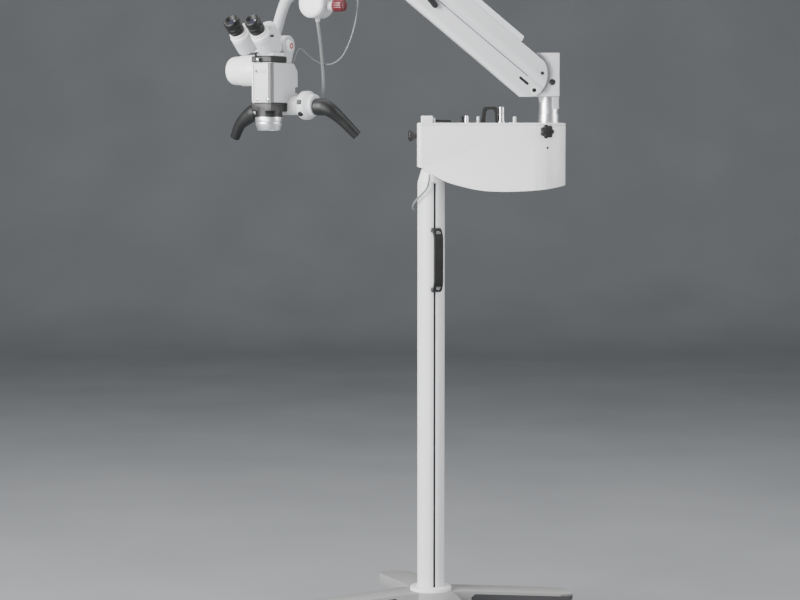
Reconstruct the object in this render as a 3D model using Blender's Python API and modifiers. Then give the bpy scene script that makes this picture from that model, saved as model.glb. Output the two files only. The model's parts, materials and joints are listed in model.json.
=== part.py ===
"""Floor-standing operating microscope on four casters, as separate pieces that move.

All sizes below are millimetres, and the shape functions turn them into metres.  +Z is up, and the
observer stands on the -Y side.  Every moving body has an empty on its joint's axis, and its
pieces are children of that empty.
"""
import math

import bmesh
import bpy
from mathutils import Vector

for leftover in list(bpy.data.objects):
    bpy.data.objects.remove(leftover, do_unlink=True)

# ------------------------------------------------ driving dimensions
MM = 0.001
GAP = 0.3                  # clearance between pieces that touch
RUN = 0.4                  # radial clearance of a running fit

COLUMN_AT = (78, 0, 39)    # the column's datum from the object's own origin
LEG_TURN = 15.5              # direction of the first leg, degrees
LEG_REACH = 390
LEG_WIDTH = 90
LEG_BOTTOM = 24
LEG_TIP_TOP = 46
HUB_TOP = 72
CASTER_REACH = 345
CASTER_TRAIL = 14
WHEEL_RADIUS = 27

COLUMN_RADIUS = 35
COLUMN_HEAD = 1129
HANDLE_HEIGHT = 932
HANDLE_LENGTH = 167

HOUSING_LEFT = -36
HOUSING_NOSE_FROM = 262
HOUSING_RIGHT = 344
HOUSING_HALF_DEPTH = 65
HOUSING_TOP = 1281
HOUSING_WALL = 4
LID = 6

SPINDLE_X = 300
SPINDLE_RADIUS = 25
BRACKET_BOTTOM = 1349
BRACKET_TOP = 1459

ARM_PIVOT = (229, 1405)    # X and Z of the arm's lower pivot
ARM_LENGTH = 540
ARM_ANGLE = 40             # the arm's slope at rest, degrees
ARM_WIDTH = 70
ARM_END_RADIUS = 66
ARM_FLOOR = -44            # heights across the arm, from the line of its pivots
ARM_SEAM = 6.5
ARM_ROOF = 62
COVER_TOP = 77
CHEEK = 14
TONGUE_HALF = ARM_WIDTH / 2 - CHEEK - 0.7
PIN_RADIUS = 9
PIN_HALF = 34
ROD_DROP = 28

HEAD_X = -290
SLEEVE_BOTTOM = 1700
SLEEVE_TOP = 1802
DROP_RADIUS = 17
YOKE_BOTTOM = 1648
YOKE_TOP = 1668
PENDULUM_Z = 1585
PENDULUM_RADIUS = 37.5
PENDULUM_BACK = 22         # the back of the pendulum's housing
LEG_FROM = 24              # the front of the yoke's leg

SCOPE_TURN = -31           # the microscope's yaw, degrees
OPTICAL_X = -413
OPTICAL_Y = -47
BODY_HALF = 31             # half the width of the optics body
BODY_FRONT = -33
BODY_BACK = 88
BODY_BOTTOM = 1331.3
BODY_TOP = 1433.5
TILT_Y = 58
TILT_Z = 1477
FOCUS_TOP = 1295.7
FOCUS_BOTTOM = 1262
BAR_X = 8                  # the middle of the handles' cross bar
BAR_Y = 63
BAR_Z = 1326
BAR_RADIUS = 24
BAR_RIGHT = 50
BAR_LEFT = 41              # the bar is shorter on the left
GRIP_FROM = 48             # measured from the bar's end

TUBE_SLOPE = 43            # the eyepieces' slope, degrees
HINGE_Y = 2                # the binocular tube's own hinge
HINGE_Z = 1473
EYE_HALF = 31.4            # half the distance between the pupils
COLLAR_Y = -82
COLLAR_Z = 1500

# ------------------------------------------------ collections and materials
parts = bpy.data.collections.new("operating_microscope")
cutters = bpy.data.collections.new("cutters")
for collection in (parts, cutters):
    bpy.context.scene.collection.children.link(collection)


def material(name, colour, roughness, metallic=0.0):
    made = bpy.data.materials.new(name)
    made.use_nodes = True
    shader = made.node_tree.nodes["Principled BSDF"]
    shader.inputs["Base Color"].default_value = (*colour, 1.0)
    shader.inputs["Roughness"].default_value = roughness
    shader.inputs["Metallic"].default_value = metallic
    made.diffuse_color = (*colour, 1.0)
    return made


WHITE = material("white_paint", (0.80, 0.80, 0.79), 0.35)
GREY = material("light_grey_paint", (0.62, 0.63, 0.64), 0.45)
CAST = material("base_paint", (0.33, 0.33, 0.34), 0.5)
BLACK = material("black_plastic", (0.012, 0.012, 0.013), 0.45)
RUBBER = material("soft_black_rubber", (0.02, 0.02, 0.021), 0.7)
ALLOY = material("satin_aluminium", (0.72, 0.72, 0.73), 0.32, 1.0)
STEEL = material("bright_steel", (0.80, 0.80, 0.80), 0.2, 1.0)
RED = material("red_plastic", (0.26, 0.005, 0.012), 0.35)
GLASS = material("coated_glass", (0.25, 0.30, 0.36), 0.05)
CORD = material("cord_grey", (0.25, 0.27, 0.28), 0.5)


# ------------------------------------------------ shape functions
def frame(name, parent=None, at=(0, 0, 0), turn=(0, 0, 0)):
    """An empty that carries a body; at is in millimetres and turn in degrees."""
    empty = bpy.data.objects.new(name, None)
    parts.objects.link(empty)
    empty.parent = parent
    empty.location = Vector(at) * MM
    empty.rotation_euler = [math.radians(angle) for angle in turn]
    return empty


def placed(name, data, look, parent, at, turn):
    """Links a new object; with no material it is a cutter."""
    thing = bpy.data.objects.new(name, data)
    thing.parent = parent
    thing.location = Vector(at) * MM
    thing.rotation_euler = [math.radians(angle) for angle in turn]
    if look is None:
        cutters.objects.link(thing)
        thing.hide_render = True
        thing.display_type = "WIRE"
    else:
        parts.objects.link(thing)
        data.materials.append(look)
    return thing


def bevel(thing, width, segments=1):
    edge = thing.modifiers.new("edges", "BEVEL")
    edge.width = width * MM
    edge.segments = segments
    edge.limit_method = "ANGLE"
    edge.angle_limit = math.radians(35)
    return thing


def box(name, size, look, parent, at, turn=(0, 0, 0), round_by=0):
    mesh = bpy.data.meshes.new(name)
    shape = bmesh.new()
    bmesh.ops.create_cube(shape, size=1.0)
    bmesh.ops.scale(shape, vec=Vector(size) * MM, verts=shape.verts)
    shape.to_mesh(mesh)
    shape.free()
    thing = placed(name, mesh, look, parent, at, turn)
    if round_by:
        bevel(thing, round_by)
    return thing


def turned(name, profile, look, parent, at=(0, 0, 0), turn=(0, 0, 0), steps=24, hollow=False):
    """A profile of (radius, height) points, down the outer side, turned about its own Z.

    A hollow profile is a closed loop that comes back up the bore.
    """
    mesh = bpy.data.meshes.new(name)
    shape = bmesh.new()
    verts = [shape.verts.new((radius * MM, 0, height * MM)) for radius, height in profile]
    for first, second in zip(verts, verts[1:]):
        shape.edges.new((first, second))
    if hollow:
        shape.edges.new((verts[-1], verts[0]))
    shape.to_mesh(mesh)
    shape.free()
    thing = placed(name, mesh, look, parent, at, turn)
    screw = thing.modifiers.new("turn", "SCREW")
    screw.axis = "Z"
    screw.angle = math.tau
    screw.steps = steps
    screw.render_steps = steps
    screw.use_merge_vertices = True
    screw.merge_threshold = 0.00001
    screw.use_smooth_shade = False
    return thing


def rod(name, radius, low, high, look, parent, at=(0, 0, 0), turn=(0, 0, 0), steps=24):
    """A plain round bar from low to high along its own Z."""
    profile = [(0, high), (radius, high), (radius, low), (0, low)]
    return turned(name, profile, look, parent, at, turn, steps)


def slab(name, outlines, thickness, look, parent, at=(0, 0, 0), turn=(0, 0, 0), round_by=0):
    """Flat outlines in the XY plane, given thickness along Z; a second outline is a hole."""
    curve = bpy.data.curves.new(name, "CURVE")
    curve.dimensions = "2D"
    curve.fill_mode = "BOTH"
    curve.extrude = thickness / 2 * MM
    for outline in outlines:
        spline = curve.splines.new("POLY")
        spline.points.add(len(outline) - 1)
        for point, (x, y) in zip(spline.points, outline):
            point.co = (x * MM, y * MM, 0, 1)
        spline.use_cyclic_u = True
    return as_mesh(name, curve, look, parent, at, turn, round_by)


def tube(name, points, radii, look, parent, at=(0, 0, 0), turn=(0, 0, 0), sides=4):
    """A round bar along points, with a radius at each of them."""
    curve = bpy.data.curves.new(name, "CURVE")
    curve.dimensions = "3D"
    curve.bevel_depth = MM
    curve.bevel_resolution = sides
    curve.use_fill_caps = True
    spline = curve.splines.new("POLY")
    spline.points.add(len(points) - 1)
    for point, place, radius in zip(spline.points, points, radii):
        point.co = (*(Vector(place) * MM), 1)
        point.radius = radius
    return as_mesh(name, curve, look, parent, at, turn, 0)


def as_mesh(name, curve, look, parent, at, turn, round_by):
    """Makes a curve's evaluated surface into a mesh object whose caps are welded."""
    guide = bpy.data.objects.new(name + "_curve", curve)
    bpy.context.scene.collection.objects.link(guide)
    seen = guide.evaluated_get(bpy.context.evaluated_depsgraph_get())
    mesh = bpy.data.meshes.new_from_object(seen)
    bpy.data.objects.remove(guide, do_unlink=True)
    shape = bmesh.new()
    shape.from_mesh(mesh)
    bmesh.ops.remove_doubles(shape, verts=shape.verts, dist=0.000005)
    bmesh.ops.recalc_face_normals(shape, faces=shape.faces)
    shape.to_mesh(mesh)
    shape.free()
    mesh.name = name
    mesh.materials.clear()
    thing = placed(name, mesh, look, parent, at, turn)
    if round_by:
        bevel(thing, round_by)
    return thing


def combine(thing, other, operation):
    change = thing.modifiers.new(operation.lower(), "BOOLEAN")
    change.operation = operation
    change.object = other
    return thing


def arc(centre, radius, start, stop, count):
    """Points on a circle between two angles in degrees."""
    angles = [start + (stop - start) * i / (count - 1) for i in range(count)]
    return [
        (
            centre[0] + radius * math.cos(math.radians(angle)),
            centre[1] + radius * math.sin(math.radians(angle)),
        )
        for angle in angles
    ]


def circle(radius, count=24, centre=(0, 0)):
    return arc(centre, radius, 0, 360 * (count - 1) / count, count)


def smooth_route(points, steps):
    """A Catmull-Rom curve through hand-placed points."""
    route = [Vector(point) for point in points]
    ends = [2 * route[0] - route[1]] + route + [2 * route[-1] - route[-2]]
    out = []
    for before, start, stop, after in zip(ends, ends[1:], ends[2:], ends[3:]):
        for step in range(steps):
            t = step / steps
            out.append(
                0.5 * (
                    2 * start
                    + (stop - before) * t
                    + (2 * before - 5 * start + 4 * stop - after) * t ** 2
                    + (3 * start - before - 3 * stop + after) * t ** 3
                )
            )
    return out + [route[-1]]


def between(values, steps):
    """The values with evenly spaced steps between each two."""
    out = []
    for start, stop in zip(values, values[1:]):
        out += [start + (stop - start) * step / steps for step in range(steps)]
    return out + [values[-1]]


# turns that lay an object's own Z, or the plane of a flat outline, along another axis
Z_TO_X = (0, 90, 0)
Z_TO_FRONT = (90, 0, 0)      # own Z to -Y; a flat outline's Y then stands up along +Z
Z_TO_BACK = (-90, 0, 0)

# ------------------------------------------------ stand: base, casters, column
stand = frame("stand_frame", at=COLUMN_AT)


def build_base():
    """Two crossing beams with round ends, whose tops fall towards the tips."""
    half = LEG_WIDTH / 2
    end = LEG_REACH - half
    plan = arc((end, 0), half, -90, 90, 9) + arc((-end, 0), half, 90, 270, 9)
    side = [
        (-LEG_REACH - 5, LEG_TIP_TOP - 1), (-75, HUB_TOP), (75, HUB_TOP),
        (LEG_REACH + 5, LEG_TIP_TOP - 1), (LEG_REACH + 5, 0), (-LEG_REACH - 5, 0),
    ]
    beams = []
    for name, look, turn in (
        ("base_casting", CAST, LEG_TURN),
        ("base_cross_beam", None, LEG_TURN + 90),
    ):
        beam = slab(name, [plan], 80, look, stand, at=(0, 0, LEG_BOTTOM + 40), turn=(0, 0, turn))
        slope = slab(name + "_slope", [side], 2 * LEG_WIDTH, None, stand, turn=(90, 0, turn))
        beams.append(combine(beam, slope, "INTERSECT"))
    base, cross = beams
    combine(base, cross, "UNION")
    for index in range(4):
        angle = math.radians(LEG_TURN + 90 * index)
        place = (CASTER_REACH * math.cos(angle), CASTER_REACH * math.sin(angle), 0)
        bore = rod(f"caster_bore_{index}", 6 + RUN, LEG_BOTTOM - 5, LEG_BOTTOM + 13, None, stand, place)
        combine(base, bore, "DIFFERENCE")


def build_caster(letter, index):
    """A swivelling fork and its wheel; the wheel trails the swivel."""
    angle = math.radians(LEG_TURN + 90 * index)
    place = (CASTER_REACH * math.cos(angle), CASTER_REACH * math.sin(angle), -COLUMN_AT[2])
    swivel = frame(f"caster_swivel_{letter}", stand, place, (0, 0, 20 + 70 * index))
    top = LEG_BOTTOM + COLUMN_AT[2] - GAP
    side = [
        (-17, 17), (-17, top), (17, top), (17, 17), (12, 17), (12, top - 6), (-12, top - 6), (-12, 17),
    ]
    name = f"caster_fork_{letter}"
    fork = slab(name, [side], 34, BLACK, swivel, at=(CASTER_TRAIL / 2 + 1, 0, 0), turn=(90, 0, 90))
    stem = rod(name + "_stem", 6, top - 1, top + 12, None, swivel, steps=16)
    combine(fork, stem, "UNION")
    axle = (CASTER_TRAIL, 0, WHEEL_RADIUS)
    axle_hole = rod(name + "_hole", 4 + RUN, -30, 30, None, swivel, axle, Z_TO_BACK, 16)
    combine(fork, axle_hole, "DIFFERENCE")
    spin = frame(f"caster_axle_{letter}", swivel, axle)
    profile = [
        (0, 19), (4, 19), (4, 11), (9, 11), (9, 10), (WHEEL_RADIUS - 3, 10), (WHEEL_RADIUS, 7),
        (WHEEL_RADIUS, -7), (WHEEL_RADIUS - 3, -10), (9, -10), (9, -11), (4, -11), (4, -19), (0, -19),
    ]
    turned(f"caster_wheel_{letter}", profile, RUBBER, spin, turn=Z_TO_BACK, steps=18)


def build_column():
    flat = math.degrees(math.asin(10 / COLUMN_RADIUS))
    face = -COLUMN_RADIUS * math.cos(math.radians(flat))
    outside = arc((0, 0), COLUMN_RADIUS, -90 + flat, 270 - flat, 32)
    slot = [(-3, face), (-3, face + 2), (-6, face + 3), (-6, face + 7), (6, face + 7), (6, face + 3),
            (3, face + 2), (3, face)]
    length = COLUMN_HEAD - HUB_TOP - 2 * GAP
    slab("column_extrusion", [outside + slot, circle(20)], length, WHITE, stand,
         at=(0, 0, HUB_TOP + GAP + length / 2), turn=(0, 0, LEG_TURN))
    neck = [
        (0, 1240), (20, 1240), (20, 1166), (24, 1165), (34.5, 1132), (34.5, COLUMN_HEAD),
        (19.5, COLUMN_HEAD), (19.5, COLUMN_HEAD - 40), (0, COLUMN_HEAD - 40),
    ]
    turned("column_neck", neck, WHITE, stand, steps=32)
    half = HANDLE_LENGTH / 2
    bow = [(0.3, -half), (0.3, 12 - half), (20, 14 - half), (29, 26 - half)]
    bow += [(29, half - 26), (20, half - 14), (0.3, half - 12), (0.3, half)]
    bow += [(26, half - 2), (38, half - 20), (38, 20 - half), (26, 2 - half)]
    slope = math.radians(LEG_TURN - 90)
    start = (-face * math.cos(slope), -face * math.sin(slope), HANDLE_HEIGHT)
    slab("column_handle", [bow], 24, BLACK, stand, at=start, turn=(90, 0, LEG_TURN - 90), round_by=2.5)


build_base()
for caster_index, caster_letter in enumerate("abcd"):
    build_caster(caster_letter, caster_index)
build_column()

# ------------------------------------------------ carrier: the arm's base and lamp housing
carrier = frame("carrier_frame_axis", stand)


def housing_solid(name, look, inset, top):
    """The housing's outer form, or with an inset its hollow."""
    left = HOUSING_LEFT + inset
    depth = HOUSING_HALF_DEPTH - inset
    belly = [
        (left, 1170), (-18, 1164), (28, 1136), (74, 1121), (126, 1110), (177, 1107), (228, 1108),
        (292, 1113), (HOUSING_RIGHT + 20, 1127),
    ]
    side = [(x, z + inset) for x, z in belly] + [(HOUSING_RIGHT + 20, top), (left, top)]
    nose = [
        (HOUSING_NOSE_FROM + (HOUSING_RIGHT - HOUSING_NOSE_FROM - inset) * math.cos(math.radians(angle)),
         depth * math.sin(math.radians(angle)))
        for angle in range(-90, 91, 10)
    ]
    corner = 10
    plan = [(left + corner, -depth)] + nose + [(left + corner, depth)]
    plan += [(left, depth - corner), (left, corner - depth)]
    solid = slab(name, [side], 2 * depth + 2, look, carrier, turn=Z_TO_FRONT)
    limit = slab(name + "_plan", [plan], 400, None, carrier, at=(0, 0, 1200))
    return combine(solid, limit, "INTERSECT"), plan


def build_carrier():
    shell, plan = housing_solid("housing_shell", WHITE, 0, HOUSING_TOP - LID - GAP)
    hollow, _ = housing_solid("housing_hollow", None, HOUSING_WALL, HOUSING_TOP + 5)
    combine(shell, hollow, "DIFFERENCE")
    throat = [(0, 1175), (30, 1175), (30, 1150), (35.5, 1150), (35.5, 1100), (0, 1100)]
    neck_hole = turned("neck_hole", throat, None, carrier)
    combine(shell, neck_hole, "DIFFERENCE")
    slab("housing_lid", [plan, circle(SPINDLE_RADIUS + 1.5, centre=(SPINDLE_X, 0))], LID, WHITE, carrier,
         at=(0, 0, HOUSING_TOP - LID / 2))
    beam = arc((0, 0), 30, 90, 270, 11) + arc((SPINDLE_X, 0), 30, -90, 90, 11)
    bores = [circle(20 + RUN), circle(20 + RUN, centre=(SPINDLE_X, 0))]
    slab("carrier_frame", [beam] + bores, 44, GREY, carrier, at=(0, 0, 1200))
    box("power_supply", (110, 90, 36), ALLOY, carrier, (120, 0, 1243))
    lamp = [(0, 1272), (24, 1272), (24, 1240), (30, 1240), (30, 1224), (0, 1224)]
    turned("lamp_module", lamp, ALLOY, carrier, (212, 0, 0))
    floor = HOUSING_TOP + GAP
    guard = [
        (126, floor), (131, 1318), (135, 1323), (166, 1323), (169.5, 1319), (169.5, floor),
        (163.5, floor), (162, 1312), (159, 1316), (144, 1316), (141, 1312), (137.5, floor),
    ]
    slab("cable_guard", [guard], 16, BLACK, carrier, turn=Z_TO_FRONT)


def build_carrier_controls():
    """The two clamp knobs, the dimmer and the power switch."""
    lock = frame("column_lock_axis", carrier, (HOUSING_LEFT, 0, 1249))
    knob = [(0, 23), (13.5, 23), (15.5, 21), (15.5, 10), (13.5, 8), (7.5, 8), (7.5, GAP), (0, GAP)]
    turned("column_lock_knob", knob, BLACK, lock, turn=(0, -90, 0))
    clamp = frame("spindle_lock_axis", carrier, (292, 0, 1259))
    star = [(0, 82), (16, 82), (18, 80), (18, 71), (16, 69), (7, 69), (7, 62.6), (0, 62.6)]
    turned("spindle_lock_knob", star, BLACK, clamp, turn=Z_TO_FRONT)
    dimmer = frame("dimmer_axis", carrier, (78, 0, HOUSING_TOP))
    dial = [(0, 19), (4.5, 19), (5, 18), (5.5, GAP), (0, GAP)]
    turned("brightness_knob", dial, BLACK, dimmer, steps=16)
    rocker = frame("rocker_axis", carrier, (60, HOUSING_HALF_DEPTH + 4, 1225))
    side = arc((0, -9), 12, 35, 145, 7)
    slab("power_switch", [side], 11, BLACK, rocker, turn=(0, -90, 0))


build_carrier()
build_carrier_controls()

# ------------------------------------------------ spindle and its bracket
spindle = frame("spindle_axis", carrier, (SPINDLE_X, 0, 0))


def build_spindle():
    profile = [
        (0, BRACKET_BOTTOM - GAP), (SPINDLE_RADIUS, BRACKET_BOTTOM - GAP),
        (SPINDLE_RADIUS, HOUSING_TOP - 2), (20, HOUSING_TOP - 4), (20, 1170), (0, 1170),
    ]
    turned("spindle_tube", profile, ALLOY, spindle, steps=32)
    pivot = (ARM_PIVOT[0] - SPINDLE_X, ARM_PIVOT[1])
    reach = ARM_END_RADIUS + 1
    top = math.degrees(math.asin((BRACKET_TOP - pivot[1]) / reach))
    bottom = math.degrees(math.asin((BRACKET_BOTTOM - pivot[1]) / reach))
    block = arc(pivot, reach, bottom, top, 12) + [(26, BRACKET_TOP), (26, BRACKET_BOTTOM)]
    bracket = slab("arm_bracket", [block], 54, GREY, spindle, turn=Z_TO_FRONT)
    tongue = arc(pivot, 24, 100, 260, 12) + [(10, pivot[1] - 40), (10, pivot[1] + 40)]
    middle = slab("bracket_tongue", [tongue], 2 * TONGUE_HALF, None, spindle, turn=Z_TO_FRONT)
    combine(bracket, middle, "UNION")
    pin_at = (pivot[0], 0, pivot[1])
    bore = rod("bracket_bore", PIN_RADIUS + RUN, -40, 40, None, spindle, pin_at, Z_TO_FRONT)
    combine(bracket, bore, "DIFFERENCE")


build_spindle()

# ------------------------------------------------ spring arm: own X up the arm, Y to the front
arm = frame("arm_axis", spindle, (ARM_PIVOT[0] - SPINDLE_X, 0, ARM_PIVOT[1]), (0, -ARM_ANGLE, 180))


def arm_outline(low, high, inset=0):
    """A stretch of the arm's side between two heights, with both round ends."""
    radius = ARM_END_RADIUS - inset
    lower = math.degrees(math.asin(low / radius))
    upper = math.degrees(math.asin(high / radius))
    near = arc((0, 0), radius, 180 - upper, 180 - lower, 9)
    far = arc((ARM_LENGTH, 0), radius, lower, upper, 9)
    return near + far


def build_arm():
    low_side = arm_outline(ARM_FLOOR, ARM_SEAM)
    high_side = arm_outline(ARM_SEAM + GAP, ARM_ROOF)
    lower = slab("arm_lower_shell", [low_side], ARM_WIDTH, GREY, arm, turn=Z_TO_FRONT)
    upper = slab("arm_upper_shell", [high_side], ARM_WIDTH, GREY, arm, turn=Z_TO_FRONT)
    middle = ARM_LENGTH / 2
    width = ARM_WIDTH - 2 * CHEEK
    hollow = box("arm_hollow", (ARM_LENGTH, width, 88), None, arm, (middle, 0, 9))
    slots = [
        box(f"arm_slot_{index}", (160, width, 200), None, arm, (x, 0, 10))
        for index, x in enumerate((-16, ARM_LENGTH + 16))
    ]
    holes = [
        rod(f"pin_hole_{index}", PIN_RADIUS + RUN, -60, 60, None, arm, (x, 0, 0), Z_TO_FRONT)
        for index, x in enumerate((0, ARM_LENGTH))
    ]
    for shell in (lower, upper):
        for cutter in [hollow] + slots + holes:
            combine(shell, cutter, "DIFFERENCE")
    heel_at = (ARM_PIVOT[0] - SPINDLE_X, 0, BRACKET_BOTTOM + GAP - 50)
    heel = box("arm_heel_cut", (300, 2 * ARM_WIDTH, 100), None, spindle, heel_at)
    combine(lower, heel, "DIFFERENCE")
    cover = [(53, ARM_ROOF + GAP), (56, COVER_TOP), (ARM_LENGTH - 80, COVER_TOP),
             (ARM_LENGTH - 70, ARM_ROOF + GAP)]
    slab("arm_top_cover", [cover], ARM_WIDTH - 4, GREY, arm, turn=Z_TO_FRONT)
    rod("lower_pivot_pin", PIN_RADIUS, -PIN_HALF, PIN_HALF, STEEL, arm, turn=Z_TO_FRONT)
    spring = [(0, 455), (5, 455), (5, 360), (14, 358), (14, 105), (5, 103), (5, 85), (0, 85)]
    turned("balance_spring", spring, STEEL, arm, (0, 0, 34), Z_TO_X)
    brake = frame("brake_axis", arm, (345, ARM_WIDTH / 2, 5))
    lever = arc((0, 0), 9, -90, 90, 7) + arc((-66, 0), 7.5, 90, 270, 7)
    slab("arm_brake_lever", [lever], 11, BLACK, brake, at=(0, 6.5, 0), turn=(90, -12, 0), round_by=2)


def build_parallel_rod():
    """The rod that keeps the front knuckle upright; it swings below the arm's pivots."""
    linkage = frame("rod_axis", spindle, (ARM_PIVOT[0] - SPINDLE_X, 0, ARM_PIVOT[1] - ROD_DROP),
                    (0, -ARM_ANGLE, 180))
    tube("parallel_rod", [(60, 0, 4), (ARM_LENGTH - 60, 0, 4)], [5, 5], STEEL, linkage)


def build_knuckle():
    """The front end: a tongue on the arm's upper pin, and the upright sleeve."""
    pivot_x = ARM_PIVOT[0] - ARM_LENGTH * math.cos(math.radians(ARM_ANGLE))
    pivot_z = ARM_PIVOT[1] + ARM_LENGTH * math.sin(math.radians(ARM_ANGLE))
    knuckle = frame("knuckle_axis", arm, (ARM_LENGTH, 0, 0), (0, -ARM_ANGLE, 180))
    reach = HEAD_X - pivot_x
    sleeve = [
        (DROP_RADIUS + RUN, SLEEVE_TOP - pivot_z), (27, SLEEVE_TOP - pivot_z),
        (27, SLEEVE_BOTTOM - pivot_z), (DROP_RADIUS + RUN, SLEEVE_BOTTOM - pivot_z),
    ]
    outline = arc((0, 0), 24, -80, 80, 12) + [(reach + 21, 30), (reach + 21, -30)]
    front = slab("front_knuckle", [outline], 2 * TONGUE_HALF, GREY, knuckle, turn=Z_TO_FRONT)
    ring = turned("knuckle_sleeve", sleeve, None, knuckle, (reach, 0, 0), hollow=True, steps=32)
    trunnion = rod("upper_trunnion", PIN_RADIUS, -PIN_HALF, PIN_HALF, None, knuckle, turn=Z_TO_FRONT)
    shaft_hole = rod("sleeve_bore", DROP_RADIUS + RUN, -80, 80, None, knuckle, (reach, 0, 0), steps=32)
    combine(front, ring, "UNION")
    combine(front, trunnion, "UNION")
    combine(front, shaft_hole, "DIFFERENCE")
    return frame("head_axis", knuckle, (reach, 0, -pivot_z))


build_arm()
build_parallel_rod()
head = build_knuckle()

# ------------------------------------------------ head: drop spindle and yoke
yoke_frame = frame("yoke_frame", head, turn=(0, 0, SCOPE_TURN))


def build_head():
    shaft = [
        (0, SLEEVE_TOP + 8), (21, SLEEVE_TOP + 8), (22, SLEEVE_TOP + 6), (22, SLEEVE_TOP + GAP),
        (DROP_RADIUS, SLEEVE_TOP + GAP), (DROP_RADIUS, YOKE_TOP + GAP), (0, YOKE_TOP + GAP),
    ]
    turned("drop_spindle", shaft, ALLOY, yoke_frame)
    side = [
        (-22, YOKE_TOP), (-22, YOKE_BOTTOM), (LEG_FROM, YOKE_BOTTOM), (LEG_FROM, 1568),
        (LEG_FROM + 18, 1568), (LEG_FROM + 18, YOKE_TOP - 8), (LEG_FROM + 10, YOKE_TOP),
    ]
    yoke = slab("pendulum_yoke", [side], 38, GREY, yoke_frame, turn=(90, 0, 90))
    axle = rod("yoke_axle", 10, -26, LEG_FROM + 10, None, yoke_frame, (0, 0, PENDULUM_Z), Z_TO_BACK)
    combine(yoke, axle, "UNION")


build_head()

# ------------------------------------------------ pendulum: swings about the front-to-back axle
pendulum = frame("pendulum_axis", yoke_frame, (0, 0, PENDULUM_Z))
sine = math.sin(math.radians(SCOPE_TURN))
cosine = math.cos(math.radians(SCOPE_TURN))
AWAY_X = OPTICAL_X - HEAD_X
SCOPE_U = AWAY_X * cosine + OPTICAL_Y * sine       # optical axis from the head's axis
SCOPE_V = -AWAY_X * sine + OPTICAL_Y * cosine


def to_pendulum(u, back, height):
    """From the optical axis' own coordinates to the pendulum's."""
    return (u + SCOPE_U, back + SCOPE_V, height - PENDULUM_Z)


def build_pendulum():
    shell = [
        (PENDULUM_RADIUS - 2, -32), (PENDULUM_RADIUS, -30), (PENDULUM_RADIUS, PENDULUM_BACK - 2),
        (PENDULUM_RADIUS - 2, PENDULUM_BACK), (10 + RUN, PENDULUM_BACK), (10 + RUN, -32),
    ]
    shell = [(radius, -height) for radius, height in shell]
    turned("pendulum_housing", shell, GREY, pendulum, turn=Z_TO_FRONT, hollow=True, steps=32)
    route = [
        (-24, TILT_Y, TILT_Z + 20), (-24, 72, 1520), (-24, 92, 1560), (-23, 112, 1594), (-12, 124, 1611),
        (6, 127, 1614), (26, 122, 1607), (42, 116, 1596),
    ]
    route = [to_pendulum(*point) for point in route]
    points = smooth_route(route, 3)
    strut = tube("c_arm", points, [14] * len(points), GREY, pendulum)
    hub_place = to_pendulum(-9.5, TILT_Y, TILT_Z)
    hub = rod("c_arm_hub", 25, -27, 0, None, pendulum, hub_place, Z_TO_X, 28)
    combine(strut, hub, "UNION")
    room_radius = PENDULUM_RADIUS + GAP
    room = rod("housing_room", room_radius, -45, 45, None, pendulum, turn=Z_TO_FRONT, steps=32)
    combine(strut, room, "DIFFERENCE")
    friction = frame("pendulum_lock_axis", pendulum, (0, -4, -7))
    knob = [
        (0, 84), (11, 84), (14.5, 80), (14.5, 51), (12, 48), (9, 48), (9, 43), (6, 42),
        (6, PENDULUM_RADIUS + 2 * GAP), (0, PENDULUM_RADIUS + 2 * GAP),
    ]
    turned("pendulum_lock_knob", knob, RED, friction, turn=Z_TO_X)


build_pendulum()

# ------------------------------------------------ microscope: own origin on its tilt axis
scope = frame("scope_tilt_axis", pendulum, to_pendulum(0, TILT_Y, TILT_Z))


def at_scope(u, back, height):
    """From the optical axis' own coordinates to those of the tilt axis."""
    return (u, back - TILT_Y, height - TILT_Z)


def build_optics():
    side = [
        (BODY_FRONT, BODY_BOTTOM), (BODY_BACK, BODY_BOTTOM), (BODY_BACK, BODY_TOP - 20),
        (BODY_BACK - 16, BODY_TOP), (BODY_FRONT, BODY_TOP),
    ]
    centre = at_scope(0, 0, 0)
    bar_at = at_scope(BAR_X, BAR_Y, BAR_Z)
    body = slab("optics_body", [side], 2 * BODY_HALF, GREY, scope, centre, (90, 0, 90), round_by=4)
    saddle = rod("bar_saddle", BAR_RADIUS + RUN, -60, 60, None, scope, bar_at, Z_TO_X)
    combine(body, saddle, "DIFFERENCE")
    block_top = BODY_BOTTOM - GAP
    mount_at = at_scope(0, 2.5, block_top - 10.5)
    mount = box("objective_mount", (2 * BODY_HALF, 71, 21), BLACK, scope, mount_at)
    nose = rod("mount_nose", 34.5, FOCUS_TOP + GAP, block_top - 10, None, scope, centre, steps=32)
    bore = rod("light_path", 26, 1200, 1400, None, scope, centre, steps=32)
    combine(mount, nose, "UNION")
    combine(mount, bore, "DIFFERENCE")
    plate_at = at_scope(0, 2.5, BODY_TOP + GAP + 7.75)
    box("tube_mount_plate", (2 * BODY_HALF, 71, 15.5), BLACK, scope, plate_at, round_by=2)
    low = BODY_TOP + GAP - TILT_Z
    tilt = arc((0, 0), 27, -45, 225, 18) + [(-19, low), (13, low)]
    slab("tilt_block", [tilt], 33, WHITE, scope, (7.5, 0, 0), (90, 0, 90))
    camera = [
        (0, 142), (22, 142), (31, 138), (35.5, 130), (36.5, 120), (36.5, 105), (39.5, 103),
        (39.5, BODY_HALF + GAP), (0, BODY_HALF + GAP),
    ]
    turned("camera_housing", camera, WHITE, scope, at_scope(0, 35, 1416), (0, -90, 0), steps=32)
    return frame("handle_bar_axis", scope, bar_at)


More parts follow.
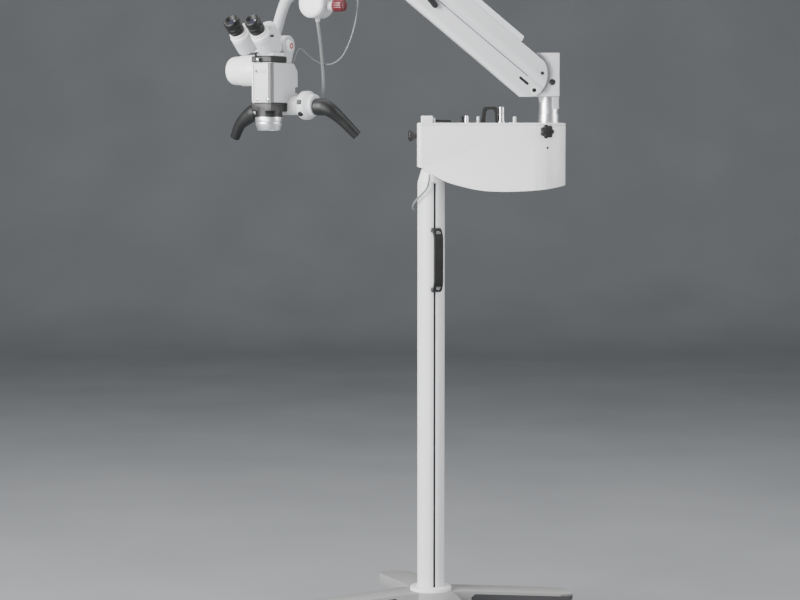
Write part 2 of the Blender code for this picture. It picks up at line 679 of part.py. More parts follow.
def build_focus():
    focus = frame("focus_axis", scope, at_scope(0, 0, 0))
    ring = [
        (34.5, FOCUS_TOP), (34.5, 1284), (33, 1283), (33, 1279), (34, 1278), (28, FOCUS_BOTTOM),
        (25, FOCUS_BOTTOM), (25, FOCUS_TOP),
    ]
    turned("focus_ring", ring, STEEL, focus, hollow=True, steps=40)
    glass = [(0, 1279), (14, 1277), (24.4, 1273), (24.4, 1267), (0, 1267)]
    turned("objective_lens", glass, GLASS, focus, steps=32)
    clamp = frame("tube_clamp_axis", scope, at_scope(-5, BODY_FRONT, BODY_TOP + 7))
    ball = [(0, 13), (3, 12.5), (4.5, 10), (4.5, 7), (3, 4.5), (2.5, 4), (2.5, GAP), (0, GAP)]
    turned("tube_clamp_screw", ball, STEEL, clamp, turn=Z_TO_FRONT, steps=16)


def build_handles(bar):
    """The cross bar, and on each end a collar with its bent grip; the right collar has two buttons."""
    rod("handle_crossbar", BAR_RADIUS, GAP - BAR_LEFT, BAR_RIGHT - GAP, WHITE, bar, turn=Z_TO_X)
    right = [(GRIP_FROM, 0, -4), (66, 0, -5), (84, 5, -13), (106, 24, -37), (135, 51, -77)]
    left = [(GRIP_FROM, 0, -17), (60, 0, -18.5), (82, 2, -31), (106, 6, -49), (129, 16, -80)]
    for side, name, start, bends in ((1, "right", BAR_RIGHT, right), (-1, "left", BAR_LEFT, left)):
        grip = frame(f"grip_axis_{name}", bar, (side * start, 0, 0))
        collar = [(0, 44), (27, 44), (29, 41), (36.5, 24), (36.5, 8), (30, 0), (0, 0)]
        ring = turned(f"handle_collar_{name}", collar, GREY, grip, turn=(0, 90 * side, 0), steps=32)
        points = smooth_route([(side * u, back, height) for u, back, height in bends], 3)
        radii = between([22, 21.5, 18.5, 14.5, 12.5], 3)
        tube(f"grip_{name}", points, radii, BLACK, grip)
        if side > 0:
            build_buttons(grip, ring)


def build_buttons(grip, ring):
    """A square and a round push button, each in its own pocket of the collar."""
    for name, angle, sides in (("upper_button", 12, 4), ("lower_button", -37, 16)):
        place = frame(name + "_axis", grip, (16, 0, 0), (90 - angle, 0, 0))
        turn = (0, 0, 45 if sides == 4 else 0)
        radius = 8 if sides == 4 else 6.5
        pocket = rod(name + "_pocket", radius + 0.6, 32, 60, None, place, turn=turn, steps=sides)
        combine(ring, pocket, "DIFFERENCE")
        rod(name, radius, 34.6, 40, BLACK, place, turn=turn, steps=sides)


handle_bar = build_optics()
build_focus()
build_handles(handle_bar)

# ------------------------------------------------ binocular tube: tilts on its own hinge
binocular = frame("binocular_hinge", scope, at_scope(0, HINGE_Y, HINGE_Z))
collar_place = (0, COLLAR_Y - HINGE_Y, COLLAR_Z - HINGE_Z)
eyes = frame("eyepiece_frame", binocular, collar_place, (90 - TUBE_SLOPE, 0, 0))


def build_binocular():
    """Own Z of the eyes' frame points up along the eyepieces, and own Y to the back and up."""
    slope = math.radians(TUBE_SLOPE)
    along = Vector((-math.cos(slope), math.sin(slope)))
    across = Vector((math.sin(slope), math.cos(slope)))
    centre = Vector((COLLAR_Y - HINGE_Y, COLLAR_Z - HINGE_Z))
    back = centre - 49 * along
    low = back - 11 * across
    high = back + 50 * across
    outline = [tuple(low), tuple(high)] + arc((0, 0), 15, 50, -100, 10)
    slab("binocular_body", [outline], 62, GREY, binocular, turn=(90, 0, 90))
    for side, name in ((1, "right"), (-1, "left")):
        slide = frame(f"prism_slide_{name}", eyes, (side * EYE_HALF, 0, 0))
        form = arc((0, 0), 25, 180, 360, 12) + arc((0, 28), 25, 0, 180, 12)
        slab(f"prism_housing_{name}", [form], 44, GREY, slide, at=(0, 0, -26))
        look = frame(f"eyepiece_axis_{name}", slide)
        barrel = [
            (0, 46), (13, 46), (16, 52), (19, 52), (21, 49), (21, 38), (19.5, 34), (20, 20),
            (18, 12 + GAP), (0, 12 + GAP),
        ]
        turned(f"eyepiece_{name}", barrel, BLACK, look)


build_binocular()

# ------------------------------------------------ free cables, in the column's own frame
LIGHT_GUIDE_RADIUS = 4.5
SIGNAL_RADIUS = 2
LAMP_LEAD_RADIUS = 2.5
light_guide_route = [
    (-290, 0, 1547), (-289, 0, 1530), (-286, 1, 1508), (-282, 3, 1469), (-279, 6, 1431),
    (-276.5, 10, 1392), (-277, 18, 1366), (-282, 28, 1342), (-294, 42, 1322), (-312, 52, 1313),
    (-330, 54, 1319), (-342, 48, 1334), (-350, 36, 1348), (-357, 23.5, 1352),
]
signal_route = [
    (-259.5, -1, 1612.5), (-252, -5, 1621), (-240, -9, 1630), (-222, -12, 1635), (-205, -12, 1628),
    (-193, -11, 1613), (-188, -9, 1592), (-189, -7, 1570), (-195, -4, 1533), (-208, 0, 1490),
    (-226, 4, 1454), (-245, 8, 1437), (-264, 11, 1431), (-282, 13, 1434), (-300, 14, 1443.5),
    (-319, 14, 1458), (-332, 13, 1470), (-340, 10, 1470), (-346, 5, 1458), (-351, 1, 1445),
    (-354, -1, 1434.5),
]
lamp_lead_route = [
    (-5, -44, 1150), (-6, -45, 1135), (-12, -45, 1115), (-26, -39, 1098), (-39, -24, 1084),
    (-46, -4, 1072), (-46, 18, 1062), (-37, 38, 1056), (-22, 50, 1054), (-7, 50, 1055),
    (0, 41, 1056), (0.5, 35.6, 1056),
]


def build_cords():
    for name, route, radius, steps in (
        ("light_guide", light_guide_route, LIGHT_GUIDE_RADIUS, 2),
        ("signal_cable", signal_route, SIGNAL_RADIUS, 2),
        ("lamp_lead", lamp_lead_route, LAMP_LEAD_RADIUS, 2),
    ):
        points = smooth_route(route, steps)
        tube(name, points, [radius] * len(points), CORD, stand, sides=2)


build_cords()
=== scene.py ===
"""Looks of a floor-standing operating microscope: camera, cables, every piece, materials, floor and lights.

Sizes are millimetres in the frames below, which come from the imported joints; +Z is up and the
observer's side of each frame is -Y.
"""
import json
import math

import bmesh
import bpy
from mathutils import Matrix, Vector


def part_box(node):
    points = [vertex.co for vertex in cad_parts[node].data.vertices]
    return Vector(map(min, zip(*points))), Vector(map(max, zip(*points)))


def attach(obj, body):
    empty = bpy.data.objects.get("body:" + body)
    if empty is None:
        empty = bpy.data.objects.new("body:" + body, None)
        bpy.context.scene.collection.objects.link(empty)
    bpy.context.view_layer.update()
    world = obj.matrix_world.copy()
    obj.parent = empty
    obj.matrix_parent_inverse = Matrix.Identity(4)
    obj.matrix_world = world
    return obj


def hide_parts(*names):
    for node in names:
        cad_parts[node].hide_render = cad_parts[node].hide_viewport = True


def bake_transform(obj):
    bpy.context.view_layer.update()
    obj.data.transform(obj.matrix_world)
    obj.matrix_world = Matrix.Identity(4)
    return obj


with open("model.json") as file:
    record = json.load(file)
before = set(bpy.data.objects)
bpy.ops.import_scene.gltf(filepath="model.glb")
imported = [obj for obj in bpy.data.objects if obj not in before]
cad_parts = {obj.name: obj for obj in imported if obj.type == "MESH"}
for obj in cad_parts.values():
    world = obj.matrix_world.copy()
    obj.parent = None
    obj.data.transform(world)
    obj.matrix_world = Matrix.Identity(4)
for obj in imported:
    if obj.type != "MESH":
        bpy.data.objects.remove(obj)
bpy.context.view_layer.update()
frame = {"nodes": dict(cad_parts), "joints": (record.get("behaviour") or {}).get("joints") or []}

MM = 0.001
GAP = 0.3

# ------------------------------------------------------------------ frames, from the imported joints
JOINTS = {joint["name"]: joint for joint in frame["joints"]}
HOUSING_TOP = 1281                      # above the column's datum
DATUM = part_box("housing_lid")[1].z - HOUSING_TOP * MM


def axes(origin, along_x, along_z):
    """A frame from its origin and its own X and Z directions."""
    x = Vector(along_x).normalized()
    z = Vector(along_z).normalized()
    return Matrix.Translation(Vector(origin)) @ Matrix((x, z.cross(x), z)).transposed().to_4x4()


def pivot(name):
    return Vector(JOINTS[name]["pos_m"])


def upright(name, along_x=(1, 0, 0)):
    """A frame on a vertical axis, at the column's datum height."""
    at = pivot(name)
    return axes((at.x, at.y, DATUM), along_x, (0, 0, 1))


UP = (0, 0, 1)
ACROSS = Vector(JOINTS["microscope_tilt"]["axis"])          # the microscope's own left to right
COLUMN = upright("carrier_swivel")
SPINDLE = upright("spindle_swivel")
SCOPE = upright("focus_turn", ACROSS)
HEAD = upright("head_swivel", ACROSS)
PENDULUM = axes(pivot("pendulum_tilt"), ACROSS, UP)
TILT = axes(pivot("microscope_tilt"), ACROSS, UP)
KNUCKLE = axes(pivot("knuckle_level"), (1, 0, 0), UP)
BAR_RIGHT = axes(pivot("handle_turn_right"), ACROSS, UP)       # the ends of the handles' bar
BAR_LEFT = axes(pivot("handle_turn_left"), ACROSS, UP)
HINGE = axes(pivot("binocular_tilt"), ACROSS, UP)
arm_line = pivot("knuckle_level") - pivot("arm_lift")
ARM = axes(pivot("arm_lift"), arm_line, arm_line.cross(Vector((0, -1, 0))))
ARM_LENGTH = arm_line.length / MM
eye_middle = (pivot("dioptre_turn_right") + pivot("dioptre_turn_left")) / 2
EYES = axes(eye_middle, ACROSS, JOINTS["dioptre_turn_right"]["axis"])
EYE_HALF = (pivot("dioptre_turn_right") - pivot("dioptre_turn_left")).length / 2 / MM


def turned_by(base, x=0, y=0, z=0, at=(0, 0, 0)):
    """A frame inside another: first placed at a point in millimetres, then turned about Z, Y and X."""
    turn = Matrix.Rotation(math.radians(z), 4, "Z") @ Matrix.Rotation(math.radians(y), 4, "Y")
    return base @ Matrix.Translation(Vector(at) * MM) @ turn @ Matrix.Rotation(math.radians(x), 4, "X")


def z_to_x(base, at=(0, 0, 0)):
    return turned_by(base, y=90, at=at)


def z_to_left(base, at=(0, 0, 0)):
    return turned_by(base, y=-90, at=at)


def z_to_front(base, at=(0, 0, 0)):
    """Own Z to -Y; a flat outline's own Y then stands up."""
    return turned_by(base, x=90, at=at)


def z_to_back(base, at=(0, 0, 0)):
    return turned_by(base, x=-90, at=at)


def side_on(base, at=(0, 0, 0)):
    """A flat outline's X to the back and its Y up; thickness runs along own X."""
    return turned_by(base, x=90, z=90, at=at)


# ------------------------------------------------------------------ camera
CAMERA_HEIGHT = 1.213
CAMERA_LEFT = -0.080
CAMERA_AWAY = 5.4
CAMERA_LENS = 94.5
CAMERA_PITCH = 4.09


def build_camera():
    data = bpy.data.cameras.new("camera")
    data.lens = CAMERA_LENS
    data.sensor_width = 36
    data.clip_end = 60
    camera = bpy.data.objects.new("camera", data)
    bpy.context.scene.collection.objects.link(camera)
    stand_at = COLUMN.translation
    place = Matrix.Translation((stand_at.x + CAMERA_LEFT, -CAMERA_AWAY, DATUM + CAMERA_HEIGHT))
    camera.matrix_world = place @ Matrix.Rotation(math.radians(90 - CAMERA_PITCH), 4, "X")
    bpy.context.scene.camera = camera


build_camera()


# ------------------------------------------------------------------ materials
MOTTLE_SCALE = 9


def new_material(name):
    made = bpy.data.materials.new(name)
    made.use_nodes = True
    return made, made.node_tree.nodes, made.node_tree.links, made.node_tree.nodes["Principled BSDF"]


def noise(nodes, links, scale, detail=3, roughness=0.5):
    """A noise texture in the piece's own coordinates, so that it moves with the piece."""
    place = nodes.new("ShaderNodeTexCoord")
    made = nodes.new("ShaderNodeTexNoise")
    made.inputs["Scale"].default_value = scale
    made.inputs["Detail"].default_value = detail
    made.inputs["Roughness"].default_value = roughness
    links.new(place.outputs["Object"], made.inputs["Vector"])
    return made.outputs["Fac"]


def ramp(nodes, links, source, low, high):
    """Maps a texture value to a range of colours or greys."""
    made = nodes.new("ShaderNodeValToRGB")
    made.color_ramp.elements[0].position = 0.3
    made.color_ramp.elements[1].position = 0.7
    for element, value in zip(made.color_ramp.elements, (low, high)):
        grey = (value, value, value) if isinstance(value, float) else value
        element.color = (*grey, 1)
    links.new(source, made.inputs["Fac"])
    return made.outputs["Color"]


def bump(nodes, links, shader, source, strength, distance):
    made = nodes.new("ShaderNodeBump")
    made.inputs["Strength"].default_value = strength
    made.inputs["Distance"].default_value = distance
    links.new(source, made.inputs["Height"])
    links.new(made.outputs["Normal"], shader.inputs["Normal"])


def surface(name, colour, roughness, metallic=0.0, mottle=0.04, grain=600, depth=0.00004, spread=0.06,
        coat=0.0):
    """A painted, moulded or metal finish: slow colour drift, uneven gloss and a fine surface grain."""
    made, nodes, links, shader = new_material(name)
    drift = noise(nodes, links, MOTTLE_SCALE, 4, 0.6)
    dark = tuple(channel * (1 - mottle) for channel in colour)
    light = tuple(min(1.0, channel * (1 + mottle)) for channel in colour)
    links.new(ramp(nodes, links, drift, dark, light), shader.inputs["Base Color"])
    gloss = noise(nodes, links, 4 * MOTTLE_SCALE)
    low = max(0.02, roughness - spread)
    links.new(ramp(nodes, links, gloss, low, roughness + spread), shader.inputs["Roughness"])
    bump(nodes, links, shader, noise(nodes, links, grain, 2), 0.35, depth)
    shader.inputs["Metallic"].default_value = metallic
    shader.inputs["Coat Weight"].default_value = coat
    return made


WHITE = surface("white_satin_paint", (0.83, 0.83, 0.82), 0.34, mottle=0.015, grain=420, depth=0.00003,
    coat=0.15)
GREY = surface("light_grey_satin_paint", (0.63, 0.635, 0.65), 0.42, mottle=0.02, grain=420, depth=0.00003)
WARM = surface("warm_grey_paint", (0.56, 0.56, 0.55), 0.42, mottle=0.02, grain=420, depth=0.00003)
TEXTURED = surface("base_hammer_paint", (0.30, 0.295, 0.29), 0.5, mottle=0.05, grain=260, depth=0.0001)
COLUMN_PAINT = surface("anodised_column", (0.74, 0.74, 0.75), 0.36, mottle=0.015, grain=500, depth=0.00003)
PANEL = surface("dark_leg_panel", (0.05, 0.05, 0.052), 0.55, mottle=0.1, grain=500, depth=0.00006)
BLACK = surface("black_grained_plastic", (0.012, 0.012, 0.013), 0.45, mottle=0.15, grain=900, depth=0.00006)
SATIN = surface("black_satin_plastic", (0.008, 0.008, 0.008), 0.5, mottle=0.15, grain=1200, depth=0.00003)
RUBBER = surface("caster_rubber", (0.02, 0.02, 0.021), 0.75, mottle=0.2, grain=500, depth=0.0001)
ALLOY = surface("satin_aluminium", (0.80, 0.80, 0.81), 0.33, 1.0, mottle=0.01, grain=900, depth=0.000003)
CHROME = surface("polished_steel", (0.86, 0.86, 0.87), 0.13, 1.0, mottle=0.01, grain=900, depth=0.000005,
    spread=0.03)
RED = surface("dark_red_plastic", (0.11, 0.003, 0.009), 0.34, mottle=0.05, grain=700, depth=0.00002, coat=0.3)
CORD = surface("grey_cable_sheath", (0.20, 0.21, 0.21), 0.34, mottle=0.06, grain=800, depth=0.00003)
# One dark grey, for the side latch and the rims round the front screws, and as painted shade on the body's right
# corner and in the gap round the arm's end.
DARK_TRIM_AND_SHADE = surface("dark_grey_trim_and_painted_shade", (0.13, 0.13, 0.135), 0.4, mottle=0.05, depth=0.00002)
DARK_STEEL = surface("blackened_steel", (0.09, 0.09, 0.10), 0.35, 0.8, mottle=0.1, grain=700, depth=0.00001)
BRUSHED = surface("brushed_ring", (0.82, 0.82, 0.83), 0.4, 1.0, mottle=0.01, grain=900, depth=0.000004)
MARK = surface("red_mark", (0.35, 0.02, 0.05), 0.4, mottle=0.05)


def coated_glass():
    made, nodes, links, shader = new_material("coated_optical_glass")
    tint = ramp(nodes, links, noise(nodes, links, 30, 2), (0.015, 0.02, 0.035), (0.03, 0.02, 0.045))
    links.new(tint, shader.inputs["Base Color"])
    shader.inputs["Roughness"].default_value = 0.04
    shader.inputs["Coat Weight"].default_value = 1.0
    shader.inputs["Coat Roughness"].default_value = 0.02
    shader.inputs["Specular IOR Level"].default_value = 0.8
    return made


GLASS = coated_glass()


# ------------------------------------------------------------------ shape functions
def settle(thing, place, look, body):
    """Links a finished piece, places it, gives it its finish and lets it ride.

    A piece called X_fine replaces the node X.
    """
    bpy.context.scene.collection.objects.link(thing)
    thing.data.transform(place.to_3x3().to_4x4())
    thing.matrix_world = Matrix.Translation(place.translation)
    thing.data.materials.append(look)
    if body:
        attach(thing, body)
    if thing.name.endswith("_fine"):
        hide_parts(thing.name.removesuffix("_fine"))
    return thing


def finish_shape(thing, look, body):
    """Gives a shape that was cut before it had a finish its finish and its body."""
    bpy.context.scene.collection.objects.unlink(thing)
    place = thing.matrix_world.copy()
    thing.data.materials.clear()
    return settle(thing, place, look, body)


def soften(thing, width, segments=3, angle=32):
    """Rounded edges, with flat faces kept flat."""
    edge = thing.modifiers.new("edges", "BEVEL")
    edge.width = width * MM
    edge.segments = segments
    edge.limit_method = "ANGLE"
    edge.angle_limit = math.radians(angle)
    edge.harden_normals = True
    return thing


def mesh_from(name, verts, faces):
    """A mesh from points in millimetres, without doubled points, smooth but for its sharp edges."""
    mesh = bpy.data.meshes.new(name)
    mesh.from_pydata([tuple(Vector(v) * MM) for v in verts], [], faces)
    shape = bmesh.new()
    shape.from_mesh(mesh)
    bmesh.ops.remove_doubles(shape, verts=shape.verts, dist=0.000005)
    bmesh.ops.dissolve_degenerate(shape, dist=0.000005, edges=shape.edges)
    bmesh.ops.recalc_face_normals(shape, faces=shape.faces)
    shape.to_mesh(mesh)
    shape.free()
    return smooth(mesh)


def smooth(mesh):
    mesh.shade_smooth()
    mesh.set_sharp_from_angle(angle=math.radians(38))
    return mesh


def lathe(name, profile, place, look, body, steps=64, ring=False, edge=0.0, ribs=None):
    """Turns (radius, height) points about own Z; ring closes the profile.

    ribs is (count, depth, radius from which they are cut).
    """
    verts = []
    faces = []
    for step in range(steps):
        angle = math.tau * step / steps
        for radius, height in profile:
            if ribs and radius > ribs[2]:
                radius -= ribs[1] * (0.5 - 0.5 * math.cos(ribs[0] * angle)) ** 2
            verts.append((radius * math.cos(angle), radius * math.sin(angle), height))
    count = len(profile)
    for step in range(steps):
        here = step * count
        there = (step + 1) % steps * count
        for index in range(count if ring else count - 1):
            after = (index + 1) % count
            faces.append((here + index, there + index, there + after, here + after))
    thing = bpy.data.objects.new(name, mesh_from(name, verts, faces))
    if edge:
        soften(thing, edge, 2, 30)
    return settle(thing, place, look, body)


def plate_mesh(name, outline, thickness):
    """A flat outline in XY with its thickness along Z, centred."""
    half = thickness / 2
    count = len(outline)
    verts = [(x, y, -half) for x, y in outline] + [(x, y, half) for x, y in outline]
    faces = [tuple(reversed(range(count))), tuple(range(count, 2 * count))]
    for index in range(count):
        after = (index + 1) % count
        faces.append((index, after, after + count, index + count))
    return mesh_from(name, verts, faces)


def plate(name, outline, thickness, place, look, body, edge=1.0, segments=3, cuts=(), joins=(), limits=()):
    """A plate with rounded edges; cuts and joins are helper objects in world space."""
    thing = bpy.data.objects.new(name, plate_mesh(name, outline, thickness))
    settle(thing, place, look, body)
    return shaped(thing, edge, segments, cuts, joins, limits)


def shaped(thing, edge, segments, cuts=(), joins=(), limits=()):
    for helpers, operation in ((limits, "INTERSECT"), (joins, "UNION"), (cuts, "DIFFERENCE")):
        for helper in helpers:
            change = thing.modifiers.new(operation.lower(), "BOOLEAN")
            change.operation = operation
            change.object = helper
    if edge:
        soften(thing, edge, segments)
    return thing


def helper(name, mesh, place):
    """A cutter: it never shows."""
    thing = bpy.data.objects.new(name, mesh)
    bpy.context.scene.collection.objects.link(thing)
    thing.matrix_world = place
    thing.hide_render = True
    thing.display_type = "WIRE"
    helpers.append(thing)
    return thing


helpers = []


def bake(thing):
    """Applies a piece's modifiers, so that its helpers can go."""
    bpy.context.view_layer.update()
    seen = thing.evaluated_get(bpy.context.evaluated_depsgraph_get())
    mesh = bpy.data.meshes.new_from_object(seen)
    thing.modifiers.clear()
    thing.data = smooth(mesh)
    return thing


def block_mesh(size):
    mesh = bpy.data.meshes.new("block")
    shape = bmesh.new()
    bmesh.ops.create_cube(shape, size=1.0)
    bmesh.ops.scale(shape, vec=Vector(size) * MM, verts=shape.verts)
    shape.to_mesh(mesh)
    shape.free()
    return mesh


def block(name, size, place, look, body, edge=1.0, segments=3, cuts=(), joins=()):
    thing = bpy.data.objects.new(name, block_mesh(size))
    thing.data.shade_smooth()
    settle(thing, place, look, body)
    return shaped(thing, edge, segments, cuts, joins)


def rod_mesh(radius, low, high, steps=64):
    mesh = bpy.data.meshes.new("rod")
    shape = bmesh.new()
    bmesh.ops.create_cone(shape, cap_ends=True, segments=steps, radius1=radius * MM, radius2=radius * MM,
        depth=(high - low) * MM)
    bmesh.ops.translate(shape, vec=(0, 0, (low + high) / 2 * MM), verts=shape.verts)
    shape.to_mesh(mesh)
    shape.free()
    return mesh


def arc(centre, radius, start, stop, count):
    angles = [math.radians(start + (stop - start) * i / (count - 1)) for i in range(count)]
    return [(centre[0] + radius * math.cos(a), centre[1] + radius * math.sin(a)) for a in angles]


def rounded(corners, radius, count=7):
    """An outline with each corner turned into an arc-like curve."""
    out = []
    for index, corner in enumerate(corners):
        here = Vector(corner)
        before = Vector(corners[index - 1]) - here
        after = Vector(corners[(index + 1) % len(corners)]) - here
        reach = min(radius, before.length / 2, after.length / 2)
        start = here + before.normalized() * reach
        stop = here + after.normalized() * reach
        for step in range(count):
            t = step / (count - 1)
            out.append(tuple((1 - t) ** 2 * start + 2 * t * (1 - t) * here + t ** 2 * stop))
    return out


def smooth_route(points, steps):
    """A Catmull-Rom curve through given points."""
    route = [Vector(point) for point in points]
    ends = [2 * route[0] - route[1]] + route + [2 * route[-1] - route[-2]]
    out = []
    for before, start, stop, after in zip(ends, ends[1:], ends[2:], ends[3:]):
        for step in range(steps):
            t = step / steps
            out.append(0.5 * (2 * start + (stop - before) * t + (2 * before - 5 * start
                + 4 * stop - after) * t ** 2 + (3 * start - before - 3 * stop + after) * t ** 3))
    return out + [route[-1]]


def tube_mesh(points, radii, sides=32):
    """A round tube along points, with a radius at each, closed at both ends."""
    verts = []
    faces = []
    tangents = []
    for index in range(len(points)):
        ahead = points[min(index + 1, len(points) - 1)]
        behind = points[max(index - 1, 0)]
        tangents.append((ahead - behind).normalized())
    normal = tangents[0].orthogonal().normalized()
    for point, tangent, radius in zip(points, tangents, radii):
        normal = (normal - tangent * normal.dot(tangent)).normalized()
        other = tangent.cross(normal)
        for side in range(sides):
            angle = math.tau * side / sides
            verts.append(point + radius * (normal * math.cos(angle) + other * math.sin(angle)))
    for ring in range(len(points) - 1):
        for side in range(sides):
            after = (side + 1) % sides
            faces.append((ring * sides + side, ring * sides + after, (ring + 1) * sides + after,
                (ring + 1) * sides + side))
    faces.append(tuple(reversed(range(sides))))
    faces.append(tuple(range((len(points) - 1) * sides, len(points) * sides)))
    return mesh_from("tube", verts, faces)


def tube(name, points, radii, place, look, body, edge=0.0, sides=32):
    thing = bpy.data.objects.new(name, tube_mesh(points, radii, sides))
    settle(thing, place, look, body)
    if edge:
        soften(thing, edge, 3)
    return thing


def screw(name, radius, place, body, look=CHROME, height=2.5):
    """A small domed screw head with a hexagon socket; own Z points out."""
    socket = helper(name + "_socket", rod_mesh(radius * 0.45, height * 0.4, height * 2, 6), place)
    profile = [(0, height), (radius * 0.7, height * 0.95), (radius * 0.93, height * 0.7),
        (radius, height * 0.3), (radius, 0), (0, 0)]
    head = lathe(name, profile, place, look, body, steps=32)
    return bake(shaped(head, 0, 0, cuts=(socket,)))


# ------------------------------------------------------------------ stand: base and casters
LEG_TURN = 15.5
LEG_REACH = 390
LEG_WIDTH = 90
LEG_BOTTOM = 63                         # heights of the base above the floor
LEG_TIP_TOP = 85
HUB_TOP = 111
PANEL_DEPTH = 1.6
FLOOR = -DATUM / MM                     # the floor's height in the column's frame
HUB = FLOOR + HUB_TOP
GROUND = turned_by(COLUMN, at=(0, 0, FLOOR))


def beam_plan():
    half = LEG_WIDTH / 2
    end = LEG_REACH - half
    return arc((end, 0), half, -90, 90, 33) + arc((-end, 0), half, 90, 270, 33)


def beam_side():
    """The beam from the side: its tops fall from the hub towards the tips."""
    far = LEG_REACH + 5
    top = [(-far, LEG_TIP_TOP - 1), (-75, HUB_TOP), (75, HUB_TOP), (far, LEG_TIP_TOP - 1)]
    return top + [(far, LEG_BOTTOM), (-far, LEG_BOTTOM)]


def panel_mesh(grow):
    """A leg's side panel: it runs from near the hub round the leg's end and back on the other side."""
    slope = (HUB_TOP - LEG_TIP_TOP) / (LEG_REACH - 75)
    half = LEG_WIDTH / 2
    end = LEG_REACH - half
    near = 98 - grow
    steps = 25
    line = [(near + (end - near) * i / steps, -half, 0, -1) for i in range(steps)]
    line += [(x, y, (x - end) / half, y / half) for x, y in arc((end, 0), half, -90, 90, 41)]
    line += [(near + (end - near) * i / steps, half, 0, 1) for i in reversed(range(steps))]
    verts = []
    corner = 9
    for x, y, out_x, out_y in line:
        low = LEG_BOTTOM + 5 - grow
        high = HUB_TOP - slope * (x - 75) - 8 + grow
        gone = max(0.0, near + corner - x)
        trim = corner - math.sqrt(max(0.0, corner ** 2 - gone ** 2))
        low, high = low + trim, max(high - trim, low + trim + 0.5)
        for depth, height in ((-PANEL_DEPTH, low), (grow - 0.4, low), (grow - 0.4, high),
                (-PANEL_DEPTH, high)):
            verts.append((x + depth * out_x, y + depth * out_y, height))
    faces = [(0, 1, 2, 3), tuple(range(len(verts) - 1, len(verts) - 5, -1))]
    for row in range(len(line) - 1):
        for side in range(4):
            after = (side + 1) % 4
            faces.append((4 * row + side, 4 * row + 4 + side, 4 * row + 4 + after, 4 * row + after))
    return mesh_from("leg_panel", verts, faces)


def build_base():
    beams = []
    for name, turn in (("base_casting_fine", LEG_TURN), ("cross_beam", LEG_TURN + 90)):
        place = turned_by(GROUND, z=turn, at=(0, 0, 100))
        side = turned_by(GROUND, x=90, z=turn)
        limit = helper(name + "_slope", plate_mesh("slope", beam_side(), 2 * LEG_WIDTH), side)
        beam = bpy.data.objects.new(name, plate_mesh(name, beam_plan(), 180))
        bpy.context.scene.collection.objects.link(beam)
        beam.matrix_world = place
        shaped(beam, 0, 0, limits=(limit,))
        beams.append(beam)
    base, cross = beams
    helpers.append(cross)
    cutters = []
    for turn, name in ((LEG_TURN, "right"), (LEG_TURN + 180, "left")):
        place = turned_by(GROUND, z=turn)
        cutters.append(helper("panel_pocket", panel_mesh(1.0), place))
        panel = bpy.data.objects.new("leg_panel_" + name, panel_mesh(0.2))
        soften(settle(panel, place, PANEL, "stand"), 0.3, 2)
    for index in range(4):
        angle = math.radians(LEG_TURN + 90 * index)
        at = (345 * math.cos(angle), 345 * math.sin(angle), 0)
        cutters.append(helper("caster_bore", rod_mesh(6.4, LEG_BOTTOM - 5, LEG_BOTTOM + 13, 24),
            turned_by(GROUND, at=at)))
    soften(bake(shaped(base, 0, 0, joins=(cross,))), 4, 4, 28)
    bake(base)
    finish_shape(bake(shaped(base, 0, 0, cuts=cutters)), TEXTURED, "stand")
    flange = [(35.3, HUB + 0.3), (53.5, HUB + 0.3), (53.5, HUB + 8), (52, HUB + 9.5), (40, HUB + 10),
        (38.5, HUB + 11.5), (35.3, HUB + 11.5)]
    lathe("column_flange", flange, COLUMN, WHITE, "stand", ring=True, steps=96)


CASTER_TRAIL = 14
WHEEL_RADIUS = 27


def build_casters():
    """Twin-cheek forks over soft-tread wheels with a hub cap on each side."""
    for letter in "abcd":
        swivel = pivot("caster_swivel_" + letter)
        axle = pivot("wheel_spin_" + letter)
        trail = Vector((axle.x - swivel.x, axle.y - swivel.y, 0))
        fork = axes((swivel.x, swivel.y, 0), trail, UP)
        top = LEG_BOTTOM - GAP
        hood = [(-16, 17), (-16, top - 7), (-9, top), (9, top), (22, top - 4), (30, top - 16), (30, 17)]
        cheeks = rounded(hood, 5, 5)
        room = helper("wheel_room", block_mesh((60, 24, 60)), turned_by(fork, at=(10, 0, top - 36)))
        axle_at = turned_by(fork, x=90, at=(CASTER_TRAIL, 0, WHEEL_RADIUS))
        hole = helper("axle_hole", rod_mesh(4.4, -30, 30, 32), axle_at)
        stem = helper("stem", rod_mesh(6, top - 3, top + 12, 32), fork)
        body = plate(f"caster_fork_{letter}_fine", cheeks, 34, turned_by(fork, x=90), BLACK,
            "caster_" + letter, edge=0, cuts=(room, hole), joins=(stem,))
        soften(bake(body), 1.5)
        wheel = axes(axle, trail, UP)
        tread = [(4, -19), (4, -11), (9, -11), (9, -10), (20, -10), (21, -8.5), (22, -8.5), (23, -10),
            (24.5, -9.5), (26, -8), (26.8, -5), (27, 0), (26.8, 5), (26, 8), (24.5, 9.5), (23, 10),
            (22, 8.5), (21, 8.5), (20, 10), (9, 10), (9, 11), (4, 11), (4, 19)]
        profile = [(0, -19)] + tread + [(0, 19)]
        rolling = "wheel_" + letter
        lathe(f"caster_wheel_{letter}_fine", profile, turned_by(wheel, x=90), RUBBER, rolling)
        for side, name in ((1, "front"), (-1, "back")):
            place = turned_by(wheel, x=90 * side, at=(0, -19 * side, 0))
            screw(f"caster_axle_cap_{letter}_{name}", 3.6, place, rolling, height=1.2)


# ------------------------------------------------------------------ column
COLUMN_RADIUS = 35
COLUMN_HEAD = 1129
HANDLE_HEIGHT = 932
HANDLE_LENGTH = 167


